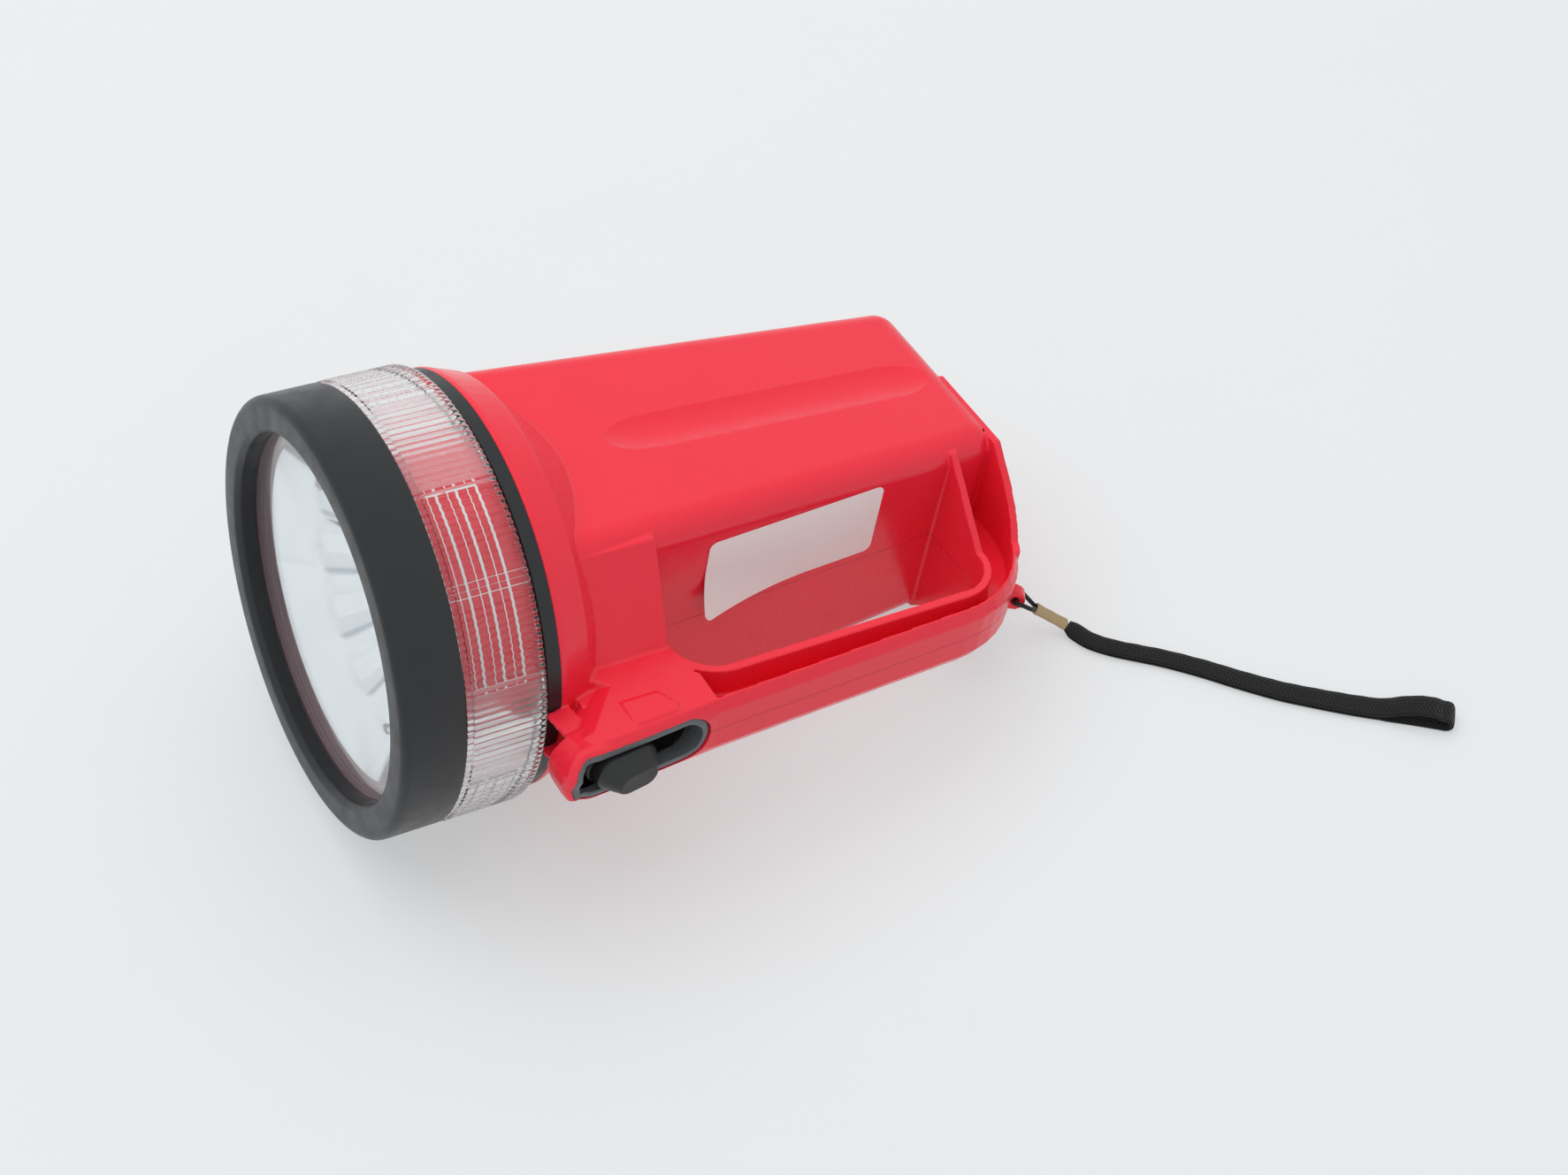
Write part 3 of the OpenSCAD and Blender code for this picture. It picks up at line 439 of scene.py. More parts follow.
def swept(rings, outline, square=1.0):
    """Extrudes an oval, squarer for a smaller square, through (matrix, width, height) rings."""
    bm = bmesh.new()
    across = bm.verts.layers.float.new("across")
    along = bm.verts.layers.float.new("along")
    verts = bmesh.ops.create_circle(bm, segments=outline, radius=1, cap_ends=False)["verts"]
    for v in verts:
        v[across] = v.co.x
        v.co.x = math.copysign(abs(v.co.x) ** square, v.co.x)
        v.co.y = math.copysign(abs(v.co.y) ** square, v.co.y)
    edges = list(bm.edges)
    shapes = [m @ Matrix.Diagonal((w, h, 1, 1)) for m, w, h in rings]
    bmesh.ops.transform(bm, matrix=shapes[0], verts=verts)
    first, travelled = list(edges), 0.0
    for before, after in zip(shapes, shapes[1:]):
        verts, edges = extruded(bm, edges)
        bmesh.ops.transform(bm, matrix=after @ before.inverted(), verts=verts)
        travelled += (after.translation - before.translation).length
        for v in verts:
            v[along] = travelled
    bmesh.ops.contextual_create(bm, geom=first)
    bmesh.ops.contextual_create(bm, geom=edges)
    bmesh.ops.recalc_face_normals(bm, faces=bm.faces)
    return bm


def unwrapped(bm, width):
    """Keeps a swept band's own measures, across and along, as its UV map in metres."""
    across = bm.verts.layers.float["across"]
    along = bm.verts.layers.float["along"]
    uv = bm.loops.layers.uv.new("weave")
    for face in bm.faces:
        for loop in face.loops:
            loop[uv].uv = (loop.vert[across] * width / 2, loop.vert[along])


class Finish:
    """A material in the making: its nodes, its shader and its Object coordinates."""

    def __init__(self, name, **sockets):
        self.material = bpy.data.materials.new(name)
        self.material.use_nodes = True
        self.tree = self.material.node_tree
        self.shader = self.tree.nodes["Principled BSDF"]
        self.coords = self.node("ShaderNodeTexCoord").outputs["Object"]
        for socket, value in sockets.items():
            self.shader.inputs[socket.replace("_", " ")].default_value = value

    def node(self, kind, inputs=(), **settings):
        """Adds a node with its settings; each input is a value or the output that feeds it."""
        made = self.tree.nodes.new(kind)
        for key, value in settings.items():
            setattr(made, key, value)
        for key, value in dict(inputs).items():
            if isinstance(value, bpy.types.NodeSocket):
                self.tree.links.new(value, made.inputs[key])
            else:
                made.inputs[key].default_value = value
        return made

    def feed(self, socket, output):
        """Links an output to a socket of the shader."""
        self.tree.links.new(output, self.shader.inputs[socket])

    def mapped(self, **inputs):
        """Object coordinates moved, turned or stretched."""
        return self.node(
            "ShaderNodeMapping", {"Vector": self.coords, **{k.title(): v for k, v in inputs.items()}}
        ).outputs["Vector"]

    def noise(self, scale, detail=2.0, roughness=0.5, vector=None):
        """Noise of about 1 / scale metres."""
        return self.node(
            "ShaderNodeTexNoise",
            {"Vector": vector or self.coords, "Scale": scale, "Detail": detail, "Roughness": roughness},
        ).outputs["Fac"]

    def ranged(self, value, low, high, start=0.0, end=1.0):
        """A value from one range on another, held at its ends."""
        return self.node(
            "ShaderNodeMapRange",
            {"Value": value, "From Min": low, "From Max": high, "To Min": start, "To Max": end},
        ).outputs["Result"]

    def maths(self, operation, a, b=0.5):
        """A sum on two values."""
        return self.node("ShaderNodeMath", {0: a, 1: b}, operation=operation).outputs["Value"]

    def mixed(self, factor, a, b):
        """A colour between two colours."""
        made = self.node("ShaderNodeMix", {"Factor": factor}, data_type="RGBA")
        for index, value in ((6, a), (7, b)):
            if isinstance(value, bpy.types.NodeSocket):
                self.tree.links.new(value, made.inputs[index])
            else:
                made.inputs[index].default_value = (*value, 1)
        return made.outputs[2]

    def bumped(self, height, depth, strength=1.0, normal=None):
        """Raises or sinks the surface by a height; returns the normal for another bump."""
        inputs = {"Height": height, "Distance": depth, "Strength": strength}
        if normal:
            inputs["Normal"] = normal
        made = self.node("ShaderNodeBump", inputs).outputs["Normal"]
        self.feed("Normal", made)
        return made


def shade(colour, share):
    """A colour made darker or lighter by a share."""
    return tuple(min(1.0, c * share) for c in colour)


def moulded(name, colour, roughness, grain=700.0, depth=0.00003, mottle=0.06, metallic=0.0, **sockets):
    """A moulded or rolled surface: mottled colour, uneven gloss and a fine grain."""
    finish = Finish(name, Metallic=metallic, **sockets)
    cloud = finish.noise(45, 3)
    fine = finish.noise(grain, 3)
    finish.feed(
        "Base Color", finish.mixed(cloud, shade(colour, 1 - mottle), shade(colour, 1 + mottle))
    )
    gloss = finish.ranged(finish.noise(160, 4), 0.3, 0.7, roughness - 0.05, roughness + 0.07)
    finish.feed("Roughness", gloss)
    finish.bumped(fine, depth, 0.5)
    return finish


def red_plastic(colours):
    """Glossy red moulding with a faint sink and the mould's parting line along the middle of the grip."""
    finish = moulded("red_moulding", colours.case_red, 0.24, grain=70, depth=0.00002, mottle=0.03)
    finish.shader.inputs["Specular IOR Level"].default_value = 0.44
    across = TO_LIGHT.row[2]
    height = finish.node(
        "ShaderNodeVectorMath", {0: finish.coords, 1: across.to_3d()}, operation="DOT_PRODUCT"
    ).outputs["Value"]
    off = finish.maths("ABSOLUTE", finish.maths("ADD", height, across[3]))
    line = finish.ranged(off, 0.00012, 0.00032, 1.0, 0.0)
    grain = finish.shader.inputs["Normal"].links[0].from_socket
    finish.bumped(line, 0.0003, 0.9, grain)
    return finish.material


def seen_rays(tree):
    """1 on rays that end at the eye, straight or by a gloss or a clear piece, and 0 on those that light."""
    path = tree.nodes.new("ShaderNodeLightPath")
    seen = path.outputs["Is Camera Ray"]
    for kind in ("Is Glossy Ray", "Is Transmission Ray"):
        either = tree.nodes.new("ShaderNodeMath")
        either.operation = "MAXIMUM"
        tree.links.new(seen, either.inputs[0])
        tree.links.new(path.outputs[kind], either.inputs[1])
        seen = either.outputs["Value"]
    return seen


class LANTERN_OT_stage(Operator):
    """Sets the floor, the soft light and the camera of the photograph"""

    bl_idname = "lantern.stage"
    bl_label = "Stage and Camera"

    def execute(self, context):
        sizes, colours = context.scene.lantern_sizes, context.scene.lantern_colours
        self.place_camera(context.scene, sizes)
        self.lay_floor(sizes, colours)
        self.light(context.scene, sizes, colours)
        return {"FINISHED"}

    def place_camera(self, scene, sizes):
        data = bpy.data.cameras.new("photo_camera")
        data.sensor_width = 36
        data.lens = sizes.camera_lens
        camera = bpy.data.objects.new("photo_camera", data)
        scene.collection.objects.link(camera)
        place = Vector(sizes.camera_place)
        sight = (Vector(sizes.camera_target) - place).to_track_quat("-Z", "Y").to_matrix().to_4x4()
        camera.matrix_world = Matrix.Translation(place) @ sight @ Matrix.Rotation(sizes.camera_roll, 4, "Z")
        scene.camera = camera

    def lay_floor(self, sizes, colours):
        bm = bmesh.new()
        bmesh.ops.create_grid(bm, x_segments=8, y_segments=8, size=sizes.floor_half)
        bmesh.ops.translate(bm, vec=(0, 0, -sizes.floor_drop), verts=bm.verts)
        mesh = bpy.data.meshes.new("floor")
        bm.to_mesh(mesh)
        bm.free()
        floor = bpy.data.objects.new("floor", mesh)
        bpy.context.scene.collection.objects.link(floor)
        finish = moulded("pale_floor", colours.floor, 0.75, grain=300, depth=0.00005, mottle=0.01)
        finish.shader.inputs["Specular IOR Level"].default_value = 0.2
        veil = finish.maths("MULTIPLY", seen_rays(finish.tree), sizes.floor_veil)
        glow = finish.node("ShaderNodeEmission", {"Color": (*colours.backdrop, 1)}).outputs["Emission"]
        shown = finish.node("ShaderNodeMixShader", {"Fac": veil, 1: finish.shader.outputs["BSDF"], 2: glow})
        finish.tree.links.new(shown.outputs["Shader"], finish.tree.nodes["Material Output"].inputs["Surface"])
        mesh.materials.append(finish.material)
        floor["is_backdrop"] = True

    def light(self, scene, sizes, colours):
        world = bpy.data.worlds.new("studio")
        scene.world = world
        world.use_nodes = True
        nodes, links = world.node_tree.nodes, world.node_tree.links
        lit = nodes["Background"]
        lit.inputs["Color"].default_value = (*colours.backdrop, 1)
        lit.inputs["Strength"].default_value = sizes.sky_level
        seen = nodes.new("ShaderNodeBackground")
        seen.inputs["Color"].default_value = (*colours.backdrop, 1)
        mix = nodes.new("ShaderNodeMixShader")
        links.new(seen_rays(world.node_tree), mix.inputs["Fac"])
        links.new(lit.outputs["Background"], mix.inputs[1])
        links.new(seen.outputs["Background"], mix.inputs[2])
        links.new(mix.outputs["Shader"], nodes["World Output"].inputs["Surface"])
        data = bpy.data.lights.new("ceiling_box", "AREA")
        data.shape = "SQUARE"
        data.size = sizes.box_side
        data.energy = sizes.box_power
        lamp = bpy.data.objects.new("ceiling_box", data)
        lamp.visible_glossy = False
        lamp.visible_transmission = False
        scene.collection.objects.link(lamp)
        place = Vector(sizes.box_place)
        aim = (Vector(sizes.box_target) - place).to_track_quat("-Z", "Y")
        lamp.matrix_world = Matrix.Translation(place) @ aim.to_matrix().to_4x4()
        scene.view_settings.view_transform = "Standard"


class LANTERN_OT_strap(Operator):
    """Makes the wrist strap: a cord through the eye, a crimped ferrule and a folded woven band"""

    bl_idname = "lantern.strap"
    bl_label = "Wrist Strap"

    def execute(self, context):
        sizes, colours = context.scene.lantern_sizes, context.scene.lantern_colours
        ferrule = self.crimp_ferrule(colours)
        self.loop_cord(sizes, colours, ferrule)
        self.fold_band(sizes, colours, ferrule)
        return {"FINISHED"}

    def loop_cord(self, sizes, colours, ferrule):
        axis = (FERRULE[1] - FERRULE[0]).normalized()
        mouth, inside = FERRULE[0], FERRULE[0] + 2 * MM * axis
        side = axis.cross(Vector((0, 0, 1))).normalized() * sizes.strand_half
        route = smooth_route([inside - side, mouth - side, *CORD_ROUTE, mouth + side, inside + side], 8)
        radius = sizes.cord_diameter / 2
        rings = []
        for i, p in enumerate(route):
            along = route[min(i + 1, len(route) - 1)] - route[max(i - 1, 0)]
            rings.append((station(p, along, Vector((0.3, 0.8, 0.5))), radius, radius))
        bm = swept(rings, 12)
        along = bm.verts.layers.float["along"]
        across = bm.verts.layers.float["across"]
        centres = [m.translation for m, w, h in rings]
        for v in bm.verts:
            centre = min(centres, key=lambda c: (c - v.co).length_squared)
            out = v.co - centre
            turn = math.acos(max(-1.0, min(1.0, v[across])))
            v.co = centre + out * (0.93 + 0.07 * math.cos(3 * turn - v[along] * 4200))
        finish = moulded("cord_yarn", colours.strap_black, 0.7, grain=5200, depth=0.00012, mottle=0.25)
        cord = placed(
            bm, "wrist_cord", finish.material, "root", ["strap_cord"], Matrix.Identity(4), 60
        )
        sum((b - a).length for a, b in zip(route, route[1:]))

    def crimp_ferrule(self, colours):
        axis = FERRULE[1] - FERRULE[0]
        side = axis.cross(Vector((0, 0, 1)))
        rings = []
        for share, wide, high in (
            (0.0, 1.75, 1.4), (0.03, 1.95, 1.6), (0.1, 1.9, 1.5), (0.2, 1.85, 1.45), (0.28, 2.0, 1.15),
            (0.36, 2.0, 1.15), (0.44, 1.85, 1.45), (0.56, 1.85, 1.45), (0.64, 2.0, 1.15), (0.72, 2.0, 1.15),
            (0.8, 1.9, 1.4), (0.92, 1.95, 1.5), (0.97, 1.95, 1.5), (1.0, 1.8, 1.35),
        ):
            rings.append((station(FERRULE[0] + share * axis, axis, side), wide * MM, high * MM))
        finish = moulded(
            "ferrule_plate", colours.ferrule_metal, 0.36, grain=2600, depth=0.00006, mottle=0.16, metallic=1.0
        )
        return placed(
            swept(rings, 20),
            "wrist_ferrule",
            finish.material,
            "root",
            ["strap_ferrule"],
            Matrix.Identity(4),
            50,
        )

    def fold_band(self, sizes, colours, ferrule):
        route = smooth_route(BAND_ROUTE, 4)
        last = len(route) - 1
        thick = sizes.band_thickness
        lower, upper = [], []
        for i, p in enumerate(route):
            along = (route[min(i + 1, last)] - route[max(i - 1, 0)]).normalized()
            side = along.cross(Vector((0, 0, 1))).normalized()
            rise = side.cross(along)
            opening = max(0.0, (i - 0.78 * last) / (0.22 * last))
            gap = thick * 0.54 + 0.0019 * math.sin(min(1.0, opening * 1.15) * math.pi / 1.35)
            p = p + Vector((0, 0, max(0.0, gap + thick / 2 - p.z)))
            grown = 0.78 + 0.38 * (i / last) ** 1.6
            wide = min(sizes.band_width / 2 * grown, 0.0014 + 0.00045 * i)
            ripple = 0.00008 * math.sin(i * 1.7) * min(1.0, i / 8)
            lower.append((p - rise * gap, along, side, wide))
            upper.append((p + rise * (gap + ripple), -along, side, wide))
        end, along, side, wide = lower[-1]
        rise = side.cross(along)
        radius = (upper[-1][0] - end).length / 2
        middle = (upper[-1][0] + end) / 2
        fold = []
        for k in range(1, 8):
            turn = math.pi * k / 8
            fold.append(
                (
                    middle + along * radius * math.sin(turn) - rise * radius * math.cos(turn),
                    along * math.cos(turn) + rise * math.sin(turn),
                    side,
                    wide,
                )
            )
        rings = [(station(p, t, s), w, thick / 2) for p, t, s, w in lower + fold + upper[::-1]]
        bm = swept(rings, 16, 0.55)
        unwrapped(bm, sizes.band_width)
        band = placed(
            bm, "wrist_band", woven(colours), "root", ["strap_band"], Matrix.Identity(4), 60
        )
        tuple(BAND_ROUTE[0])
        sum((b - a).length for a, b in zip(route, route[1:]))


def woven(colours):
    """Black twill tape: slanting ribs that follow the band's own length."""
    finish = Finish("twill_tape", Roughness=0.82, Specular_IOR_Level=0.3, Sheen_Weight=0.15)
    uv = finish.node("ShaderNodeUVMap", uv_map="weave").outputs["UV"]
    split = finish.node("ShaderNodeSeparateXYZ", {0: uv})
    across = finish.maths("MULTIPLY", split.outputs["X"], 4200.0)
    along = finish.maths("MULTIPLY", split.outputs["Y"], 5200.0)
    slant = finish.maths("SINE", finish.maths("ADD", along, finish.maths("ABSOLUTE", across)))
    warp = finish.maths("SINE", finish.maths("MULTIPLY", across, 2.6))
    weave = finish.maths("ADD", slant, finish.maths("MULTIPLY", warp, 0.5))
    lint = finish.noise(1800, 3)
    finish.feed(
        "Base Color",
        finish.mixed(
            finish.ranged(finish.maths("ADD", weave, lint), -1.2, 1.8),
            shade(colours.strap_black, 0.45),
            shade(colours.strap_black, 1.7),
        ),
    )
    finish.bumped(weave, 0.00012, 0.8)
    return finish.material


def switch_matrix(sizes):
    """The switch's own frame in the light frame: x along its travel, y across it, z out of the case."""
    along = TO_LIGHT.to_3x3() @ Vector(SLIDE_JOINT["axis"]).normalized()
    across = Vector((0, 0, 1))
    turn = Matrix((along, across, along.cross(across))).transposed().to_4x4()
    return Matrix.Translation(sizes.switch_place) @ turn


# Sections of the rings round the switch's oval: radius, height, and how much of the crown's height is added
SURROUND = (
    (7.78, -5.05, 0), (7.78, 0, 1), (7.62, 0.24, 1), (7.2, 0.4, 1), (6.3, 0.62, 1), (5.92, 0.58, 1),
    (5.68, 0.35, 1), (5.62, -0.6, 1), (5.55, -5.05, 0),
)
NOSE_SWELL = (
    (7, -13, 0), (7.9, -13, 0), (8.7, -8, 0), (9.2, -1.9, 1), (9, -0.6, 1), (8.4, 0.2, 1), (7, 0.5, 1),
)

# Cheek on each side of the throat under the nose, in the switch's frame in millimetres
THROAT_PLACE = (-12.5, 6.55, -17.5)
THROAT_SIZE = (7, 1.2, 9)


def draw_oval(bm, sizes, radius, filled):
    """Draws the switch's oval with ends of this radius in the switch's own frame."""
    bmesh.ops.create_circle(bm, segments=144, radius=radius, cap_ends=filled)
    for v in bm.verts:
        v.co.x += math.copysign(sizes.oval_straight / 2, v.co.x)


def oval_ring(sizes, section):
    """A ring of this section in millimetres round the switch's oval, along the CAD surround's crown."""
    crown = BVHTree.FromBMesh(merged("switch_bezel"))
    to_light = switch_matrix(sizes)
    inward = -to_light.col[2].to_3d()
    straight = sizes.oval_straight / 2
    bm = bmesh.new()
    rim = bm.verts.layers.float.new("rim")
    draw_oval(bm, sizes, sizes.crown_radius, filled=False)
    bmesh.ops.subdivide_edges(bm, edges=[e for e in bm.edges if e.calc_length() > straight], cuts=36)
    for v in bm.verts:
        hit = crown.ray_cast(to_light @ (v.co + Vector((0, 0, 0.012))), inward)[0]
        if hit is None:
            raise RuntimeError("The switch's oval has no crown under it")
        v[rim] = (to_light.inverted() @ hit).z
    edges, verts = list(bm.edges), list(bm.verts)
    first = list(edges)
    for index, (radius, height, share) in enumerate(section):
        if index:
            verts, edges = extruded(bm, edges)
        for v in verts:
            middle = max(-straight, min(straight, v.co.x))
            out = Vector((v.co.x - middle, v.co.y)).normalized() * radius * MM
            v.co = Vector((middle + out.x, out.y, height * MM + share * v[rim]))
    bmesh.ops.bridge_loops(bm, edges=first + edges)
    bmesh.ops.transform(bm, matrix=to_light, verts=bm.verts)
    return tidied(bm)


class LANTERN_OT_case(Operator):
    """Softens the moulded case, so that its edges are rounded as a mould rounds them"""

    bl_idname = "lantern.case"
    bl_label = "Moulded Case"

    def execute(self, context):
        sizes, colours = context.scene.lantern_sizes, context.scene.lantern_colours
        shape = merged("body_shell")
        swell = bpy.data.meshes.new("nose_swell")
        nose = oval_ring(sizes, NOSE_SWELL)
        nose.to_mesh(swell)
        nose.free()
        shape.from_mesh(swell)
        bpy.data.meshes.remove(swell)
        for side in (-1, 1):
            size, place = Vector(THROAT_SIZE) * MM, Vector(THROAT_PLACE) * MM
            place.y *= side
            cheek = switch_matrix(sizes) @ Matrix.Translation(place) @ Matrix.Diagonal((*size, 1))
            bmesh.ops.create_cube(shape, size=1, matrix=cheek)
        tree = BVHTree.FromBMesh(shape)
        case = softened(
            shape,
            "body_shell",
            "case_moulding",
            red_plastic(colours),
            "root",
            sizes.case_grid,
            sizes.case_soften,
        )
        for side in (-1, 1):
            carved(case, self.groove_tool(sizes, tree, side), "groove_tool")
        creased(case, sizes)
        return {"FINISHED"}

    def groove_tool(self, sizes, tree, side):
        """The long drop-ended body that sinks the groove of one flank, level with the flank."""
        front, rear = (self.flank_point(tree, x, side) for x in (sizes.groove_front, sizes.groove_rear))
        run = (rear - front).length
        radius, tip = sizes.groove_radius, sizes.groove_tip
        inset = tip * math.sqrt(1 - (1 - sizes.groove_depth / radius) ** 2)
        turns = [math.pi / 2 * k / 48 for k in range(49)]
        profile = [(inset - tip * math.cos(a), radius * math.sin(a)) for a in turns]
        profile += [(run - inset + tip * math.cos(a), radius * math.sin(a)) for a in reversed(turns)]
        bm = turned(profile, 240)
        slope = Matrix.Rotation(-math.atan2(rear.z - front.z, rear.x - front.x), 4, "Y")
        lift = Matrix.Translation((0, 0, side * (radius - sizes.groove_depth)))
        bmesh.ops.transform(bm, matrix=LIGHT @ Matrix.Translation(front) @ slope @ lift, verts=bm.verts)
        return bm

    def flank_point(self, tree, x, side):
        """The flank's middle at a station, taken level with the flat beside the groove."""
        beside, above = 10 * MM, 100 * MM
        hit = tree.ray_cast(Vector((x, beside, side * above)), Vector((0, 0, -side)))[0]
        if hit is None:
            raise RuntimeError("The groove's place has no flank under it")
        return Vector((x, 0, hit.z))


# Distance of the cuts that let the sticker bend, and the glue under it
STICKER_STEP = 1.5 * MM
STICKER_GLUE = 0.3 * MM


class LANTERN_OT_sticker(Operator):
    """Lays the blank sticker on the case wall that faces the hand hole, one corner loose"""

    bl_idname = "lantern.sticker"
    bl_label = "Blank Sticker"

    def execute(self, context):
        sizes, colours = context.scene.lantern_sizes, context.scene.lantern_colours
        finish = moulded("sticker_paper", colours.sticker_white, 0.42, grain=1500, depth=0.00002, mottle=0.02)
        bm = bmesh.new()
        half_x, half_z = sizes.sticker_length / 2, sizes.sticker_height / 2
        corners = bmesh.ops.create_grid(bm, x_segments=1, y_segments=1, size=0.5)["verts"]
        bmesh.ops.scale(bm, vec=(2 * half_x, 2 * half_z, 1), verts=bm.verts)
        bmesh.ops.bevel(
            bm,
            geom=corners,
            offset=sizes.sticker_corner,
            segments=5,
            profile=0.5,
            affect="VERTICES",
            material=-1,
        )
        for axis, half in ((Vector((1, 0, 0)), half_x), (Vector((0, 1, 0)), half_z)):
            cuts = int(2 * half / STICKER_STEP)
            for i in range(1, cuts):
                bmesh.ops.bisect_plane(
                    bm,
                    geom=bm.verts[:] + bm.edges[:] + bm.faces[:],
                    plane_co=axis * half * (2 * i / cuts - 1),
                    plane_no=axis,
                )
        wall = BVHTree.FromBMesh(merged("body_shell"))
        middle = Vector(sizes.sticker_place)
        for v in bm.verts:
            across = middle + Vector((v.co.x, 0, v.co.y))
            hit = wall.ray_cast(across, Vector((0, 1, 0)))[0]
            if hit is None:
                raise RuntimeError("The sticker's place has no wall behind it")
            loose = max(0.0, (-v.co.x / half_x - v.co.y / half_z - 0.72) / 1.28)
            across.y = hit.y - STICKER_GLUE - sizes.sticker_lift * loose**2
            across.x -= 0.0009 * loose**2
            v.co = across
        bmesh.ops.recalc_face_normals(bm, faces=bm.faces)
        bmesh.ops.solidify(bm, geom=bm.faces[:], thickness=sizes.sticker_film)
        bmesh.ops.recalc_face_normals(bm, faces=bm.faces)
        placed(bm, "blank_sticker", finish.material, "root")
        return {"FINISHED"}


class LANTERN_OT_head(Operator):
    """Makes the rubber bezel, the clear ribbed lens cup and the band behind the lens"""

    bl_idname = "lantern.head"
    bl_label = "Lens Head"

    def execute(self, context):
        sizes, colours = context.scene.lantern_sizes, context.scene.lantern_colours
        rubber = moulded("bezel_rubber", colours.rubber_black, 0.38, grain=900, depth=0.00003, mottle=0.12)
        self.turn_bezel(sizes, rubber)
        dressed("neck_gasket", rubber.material)
        self.turn_cup(sizes, colours)
        seal = moulded("seal_band", colours.seal_brown, 0.35, grain=900, depth=0.00003, mottle=0.15)
        self.turn_band(sizes, seal)
        return {"FINISHED"}

    def turn_band(self, sizes, seal):
        """The stepped band that the lens shows round the reflector, clear of the bowl behind it."""
        x0, x1, outer = node_reach("lens_seal")
        bowl = sizes.bowl_radius
        steps = ((0, 2), (0.5, 1.9), (0.6, 1.2), (1.1, 1), (1.2, 0.2), (1.5, -0.3), (1.9, -0.7), (2.05, -1.1))
        rear = ((2.7, -1.35), (2.95, -1.4), (2.75, -1.2), (2.05, -0.6), (1.4, 0.05))
        profile = [(x0, outer)] + [(x0 + x * MM, bowl + r * MM) for x, r in steps + rear] + [(x1, outer)]
        band = turned(profile, 180)
        placed(band, "lens_band", seal.material, "head_ring", ["lens_seal"], crease=30)

    def turn_bezel(self, sizes, rubber):
        x0, x1, outer = node_reach("bezel_ring")
        opening = min(math.hypot(p.y, p.z) for p in node_points("bezel_ring"))
        lens_x = node_reach("lens_cup")[0]
        inner = self.collar(x1) + sizes.fit_gap
        top, foot = opening + sizes.bezel_slope, x0 + sizes.bezel_slope_depth
        profile = [
            (x0, top), (x0, outer), (x1, outer), (x1, inner),
            (lens_x, inner), (lens_x, opening), (foot, opening),
        ]
        bm = turned(profile, 160)
        rounded(bm, hoop_edges(bm, x0, outer), sizes.bezel_edge, 8)
        rounded(bm, hoop_edges(bm, x1, outer), sizes.bezel_heel, 3)
        slope = hoop_edges(bm, x0, top) + hoop_edges(bm, foot, opening)
        rounded(bm, slope, sizes.bezel_slope_edge, 3)
        tidied(bm)
        placed(bm, "bezel", rubber.material, "head_ring", ["bezel_ring"], crease=50)

    def collar(self, shoulder):
        """Radius of the lens cup in front of its shoulder, where the bezel sits on it."""
        return max(math.hypot(p.y, p.z) for p in node_points("lens_cup") if p.x < shoulder - 2 * MM)

    def turn_cup(self, sizes, colours):
        front, rear, outer = node_reach("lens_cup")
        shoulder = node_reach("bezel_ring")[1] + sizes.fit_gap
        collar = self.collar(shoulder)
        bore, valley = sizes.skirt_bore, outer - sizes.rib_height
        lip, low = shoulder + sizes.skirt_lip, valley - sizes.rib_height
        middles = [rear - sizes.thread_start - sizes.thread_pitch * i for i in range(3)]
        profile = [(front, 0), (front, collar), (shoulder, collar), (shoulder, low), (lip, low)]
        profile += [(lip, valley)]
        edge = rear - sizes.skirt_chamfer
        profile += [(lip + (edge - lip) * i / 6, valley) for i in range(1, 7)]
        profile += [(rear, valley - sizes.skirt_chamfer)]
        bevel, near = 0.4 * MM, 0.1 * MM
        profile += [(rear, bore + bevel), (rear - bevel, bore)]
        half, line = sizes.thread_width / 2, sizes.thread_line
        for middle in middles:
            for side in (1, -1):
                wide = line * (1 if side < 0 else sizes.thread_bold)
                ends = (half + wide, half + 0.85 * wide, half + 0.15 * wide, half)
                profile += [(middle + side * e, bore) for e in ends[::side]]
        profile += [(sizes.lens_back, bore), (sizes.lens_back, 0)]
        bm = turned(profile, sizes.rib_count * 6)
        frost = bm.verts.layers.float.new("frost")
        for v in bm.verts:
            r = math.hypot(v.co.y, v.co.z)
            turn = math.atan2(-v.co.y, v.co.z)
            if r > low - near and v.co.x > shoulder - near:
                grown = r + sizes.rib_height * (0.5 + 0.5 * math.cos(sizes.rib_count * turn))
                v.co.y *= grown / r
                v.co.z *= grown / r
            elif abs(r - bore) < near and v.co.x > lip:
                off = abs(turn % (math.pi / 2) - math.pi / 4)
                v[frost] = self.frosting(sizes, middles, v.co.x, off)
        clear = clear_plastic(colours)
        cup = placed(bm, "lens_cup_clear", clear, "head_ring", ["lens_cup"], crease=40)
        cup.visible_shadow = False

    def frosting(self, sizes, middles, x, off):
        """How dull the skirt's bore is: its windows are clear between the bright edges of the thread."""
        half, line = sizes.thread_width / 2, sizes.thread_line
        bold = line * sizes.thread_bold
        edge, seam = math.radians(0.5), math.radians(0.9)
        if off > sizes.window_half + edge:
            return 0.22
        if off > sizes.window_half - edge:
            return 1.0 if any(-half - line < x - m < half + bold for m in middles) else 0.15
        if edge < off < seam:
            return 1.0
        front = any(0.1 < (m - half - x) / line < 0.9 for m in middles)
        rear = any(0.1 < (x - m - half) / bold < 0.9 for m in middles)
        return 1.0 if front or rear else 0.0


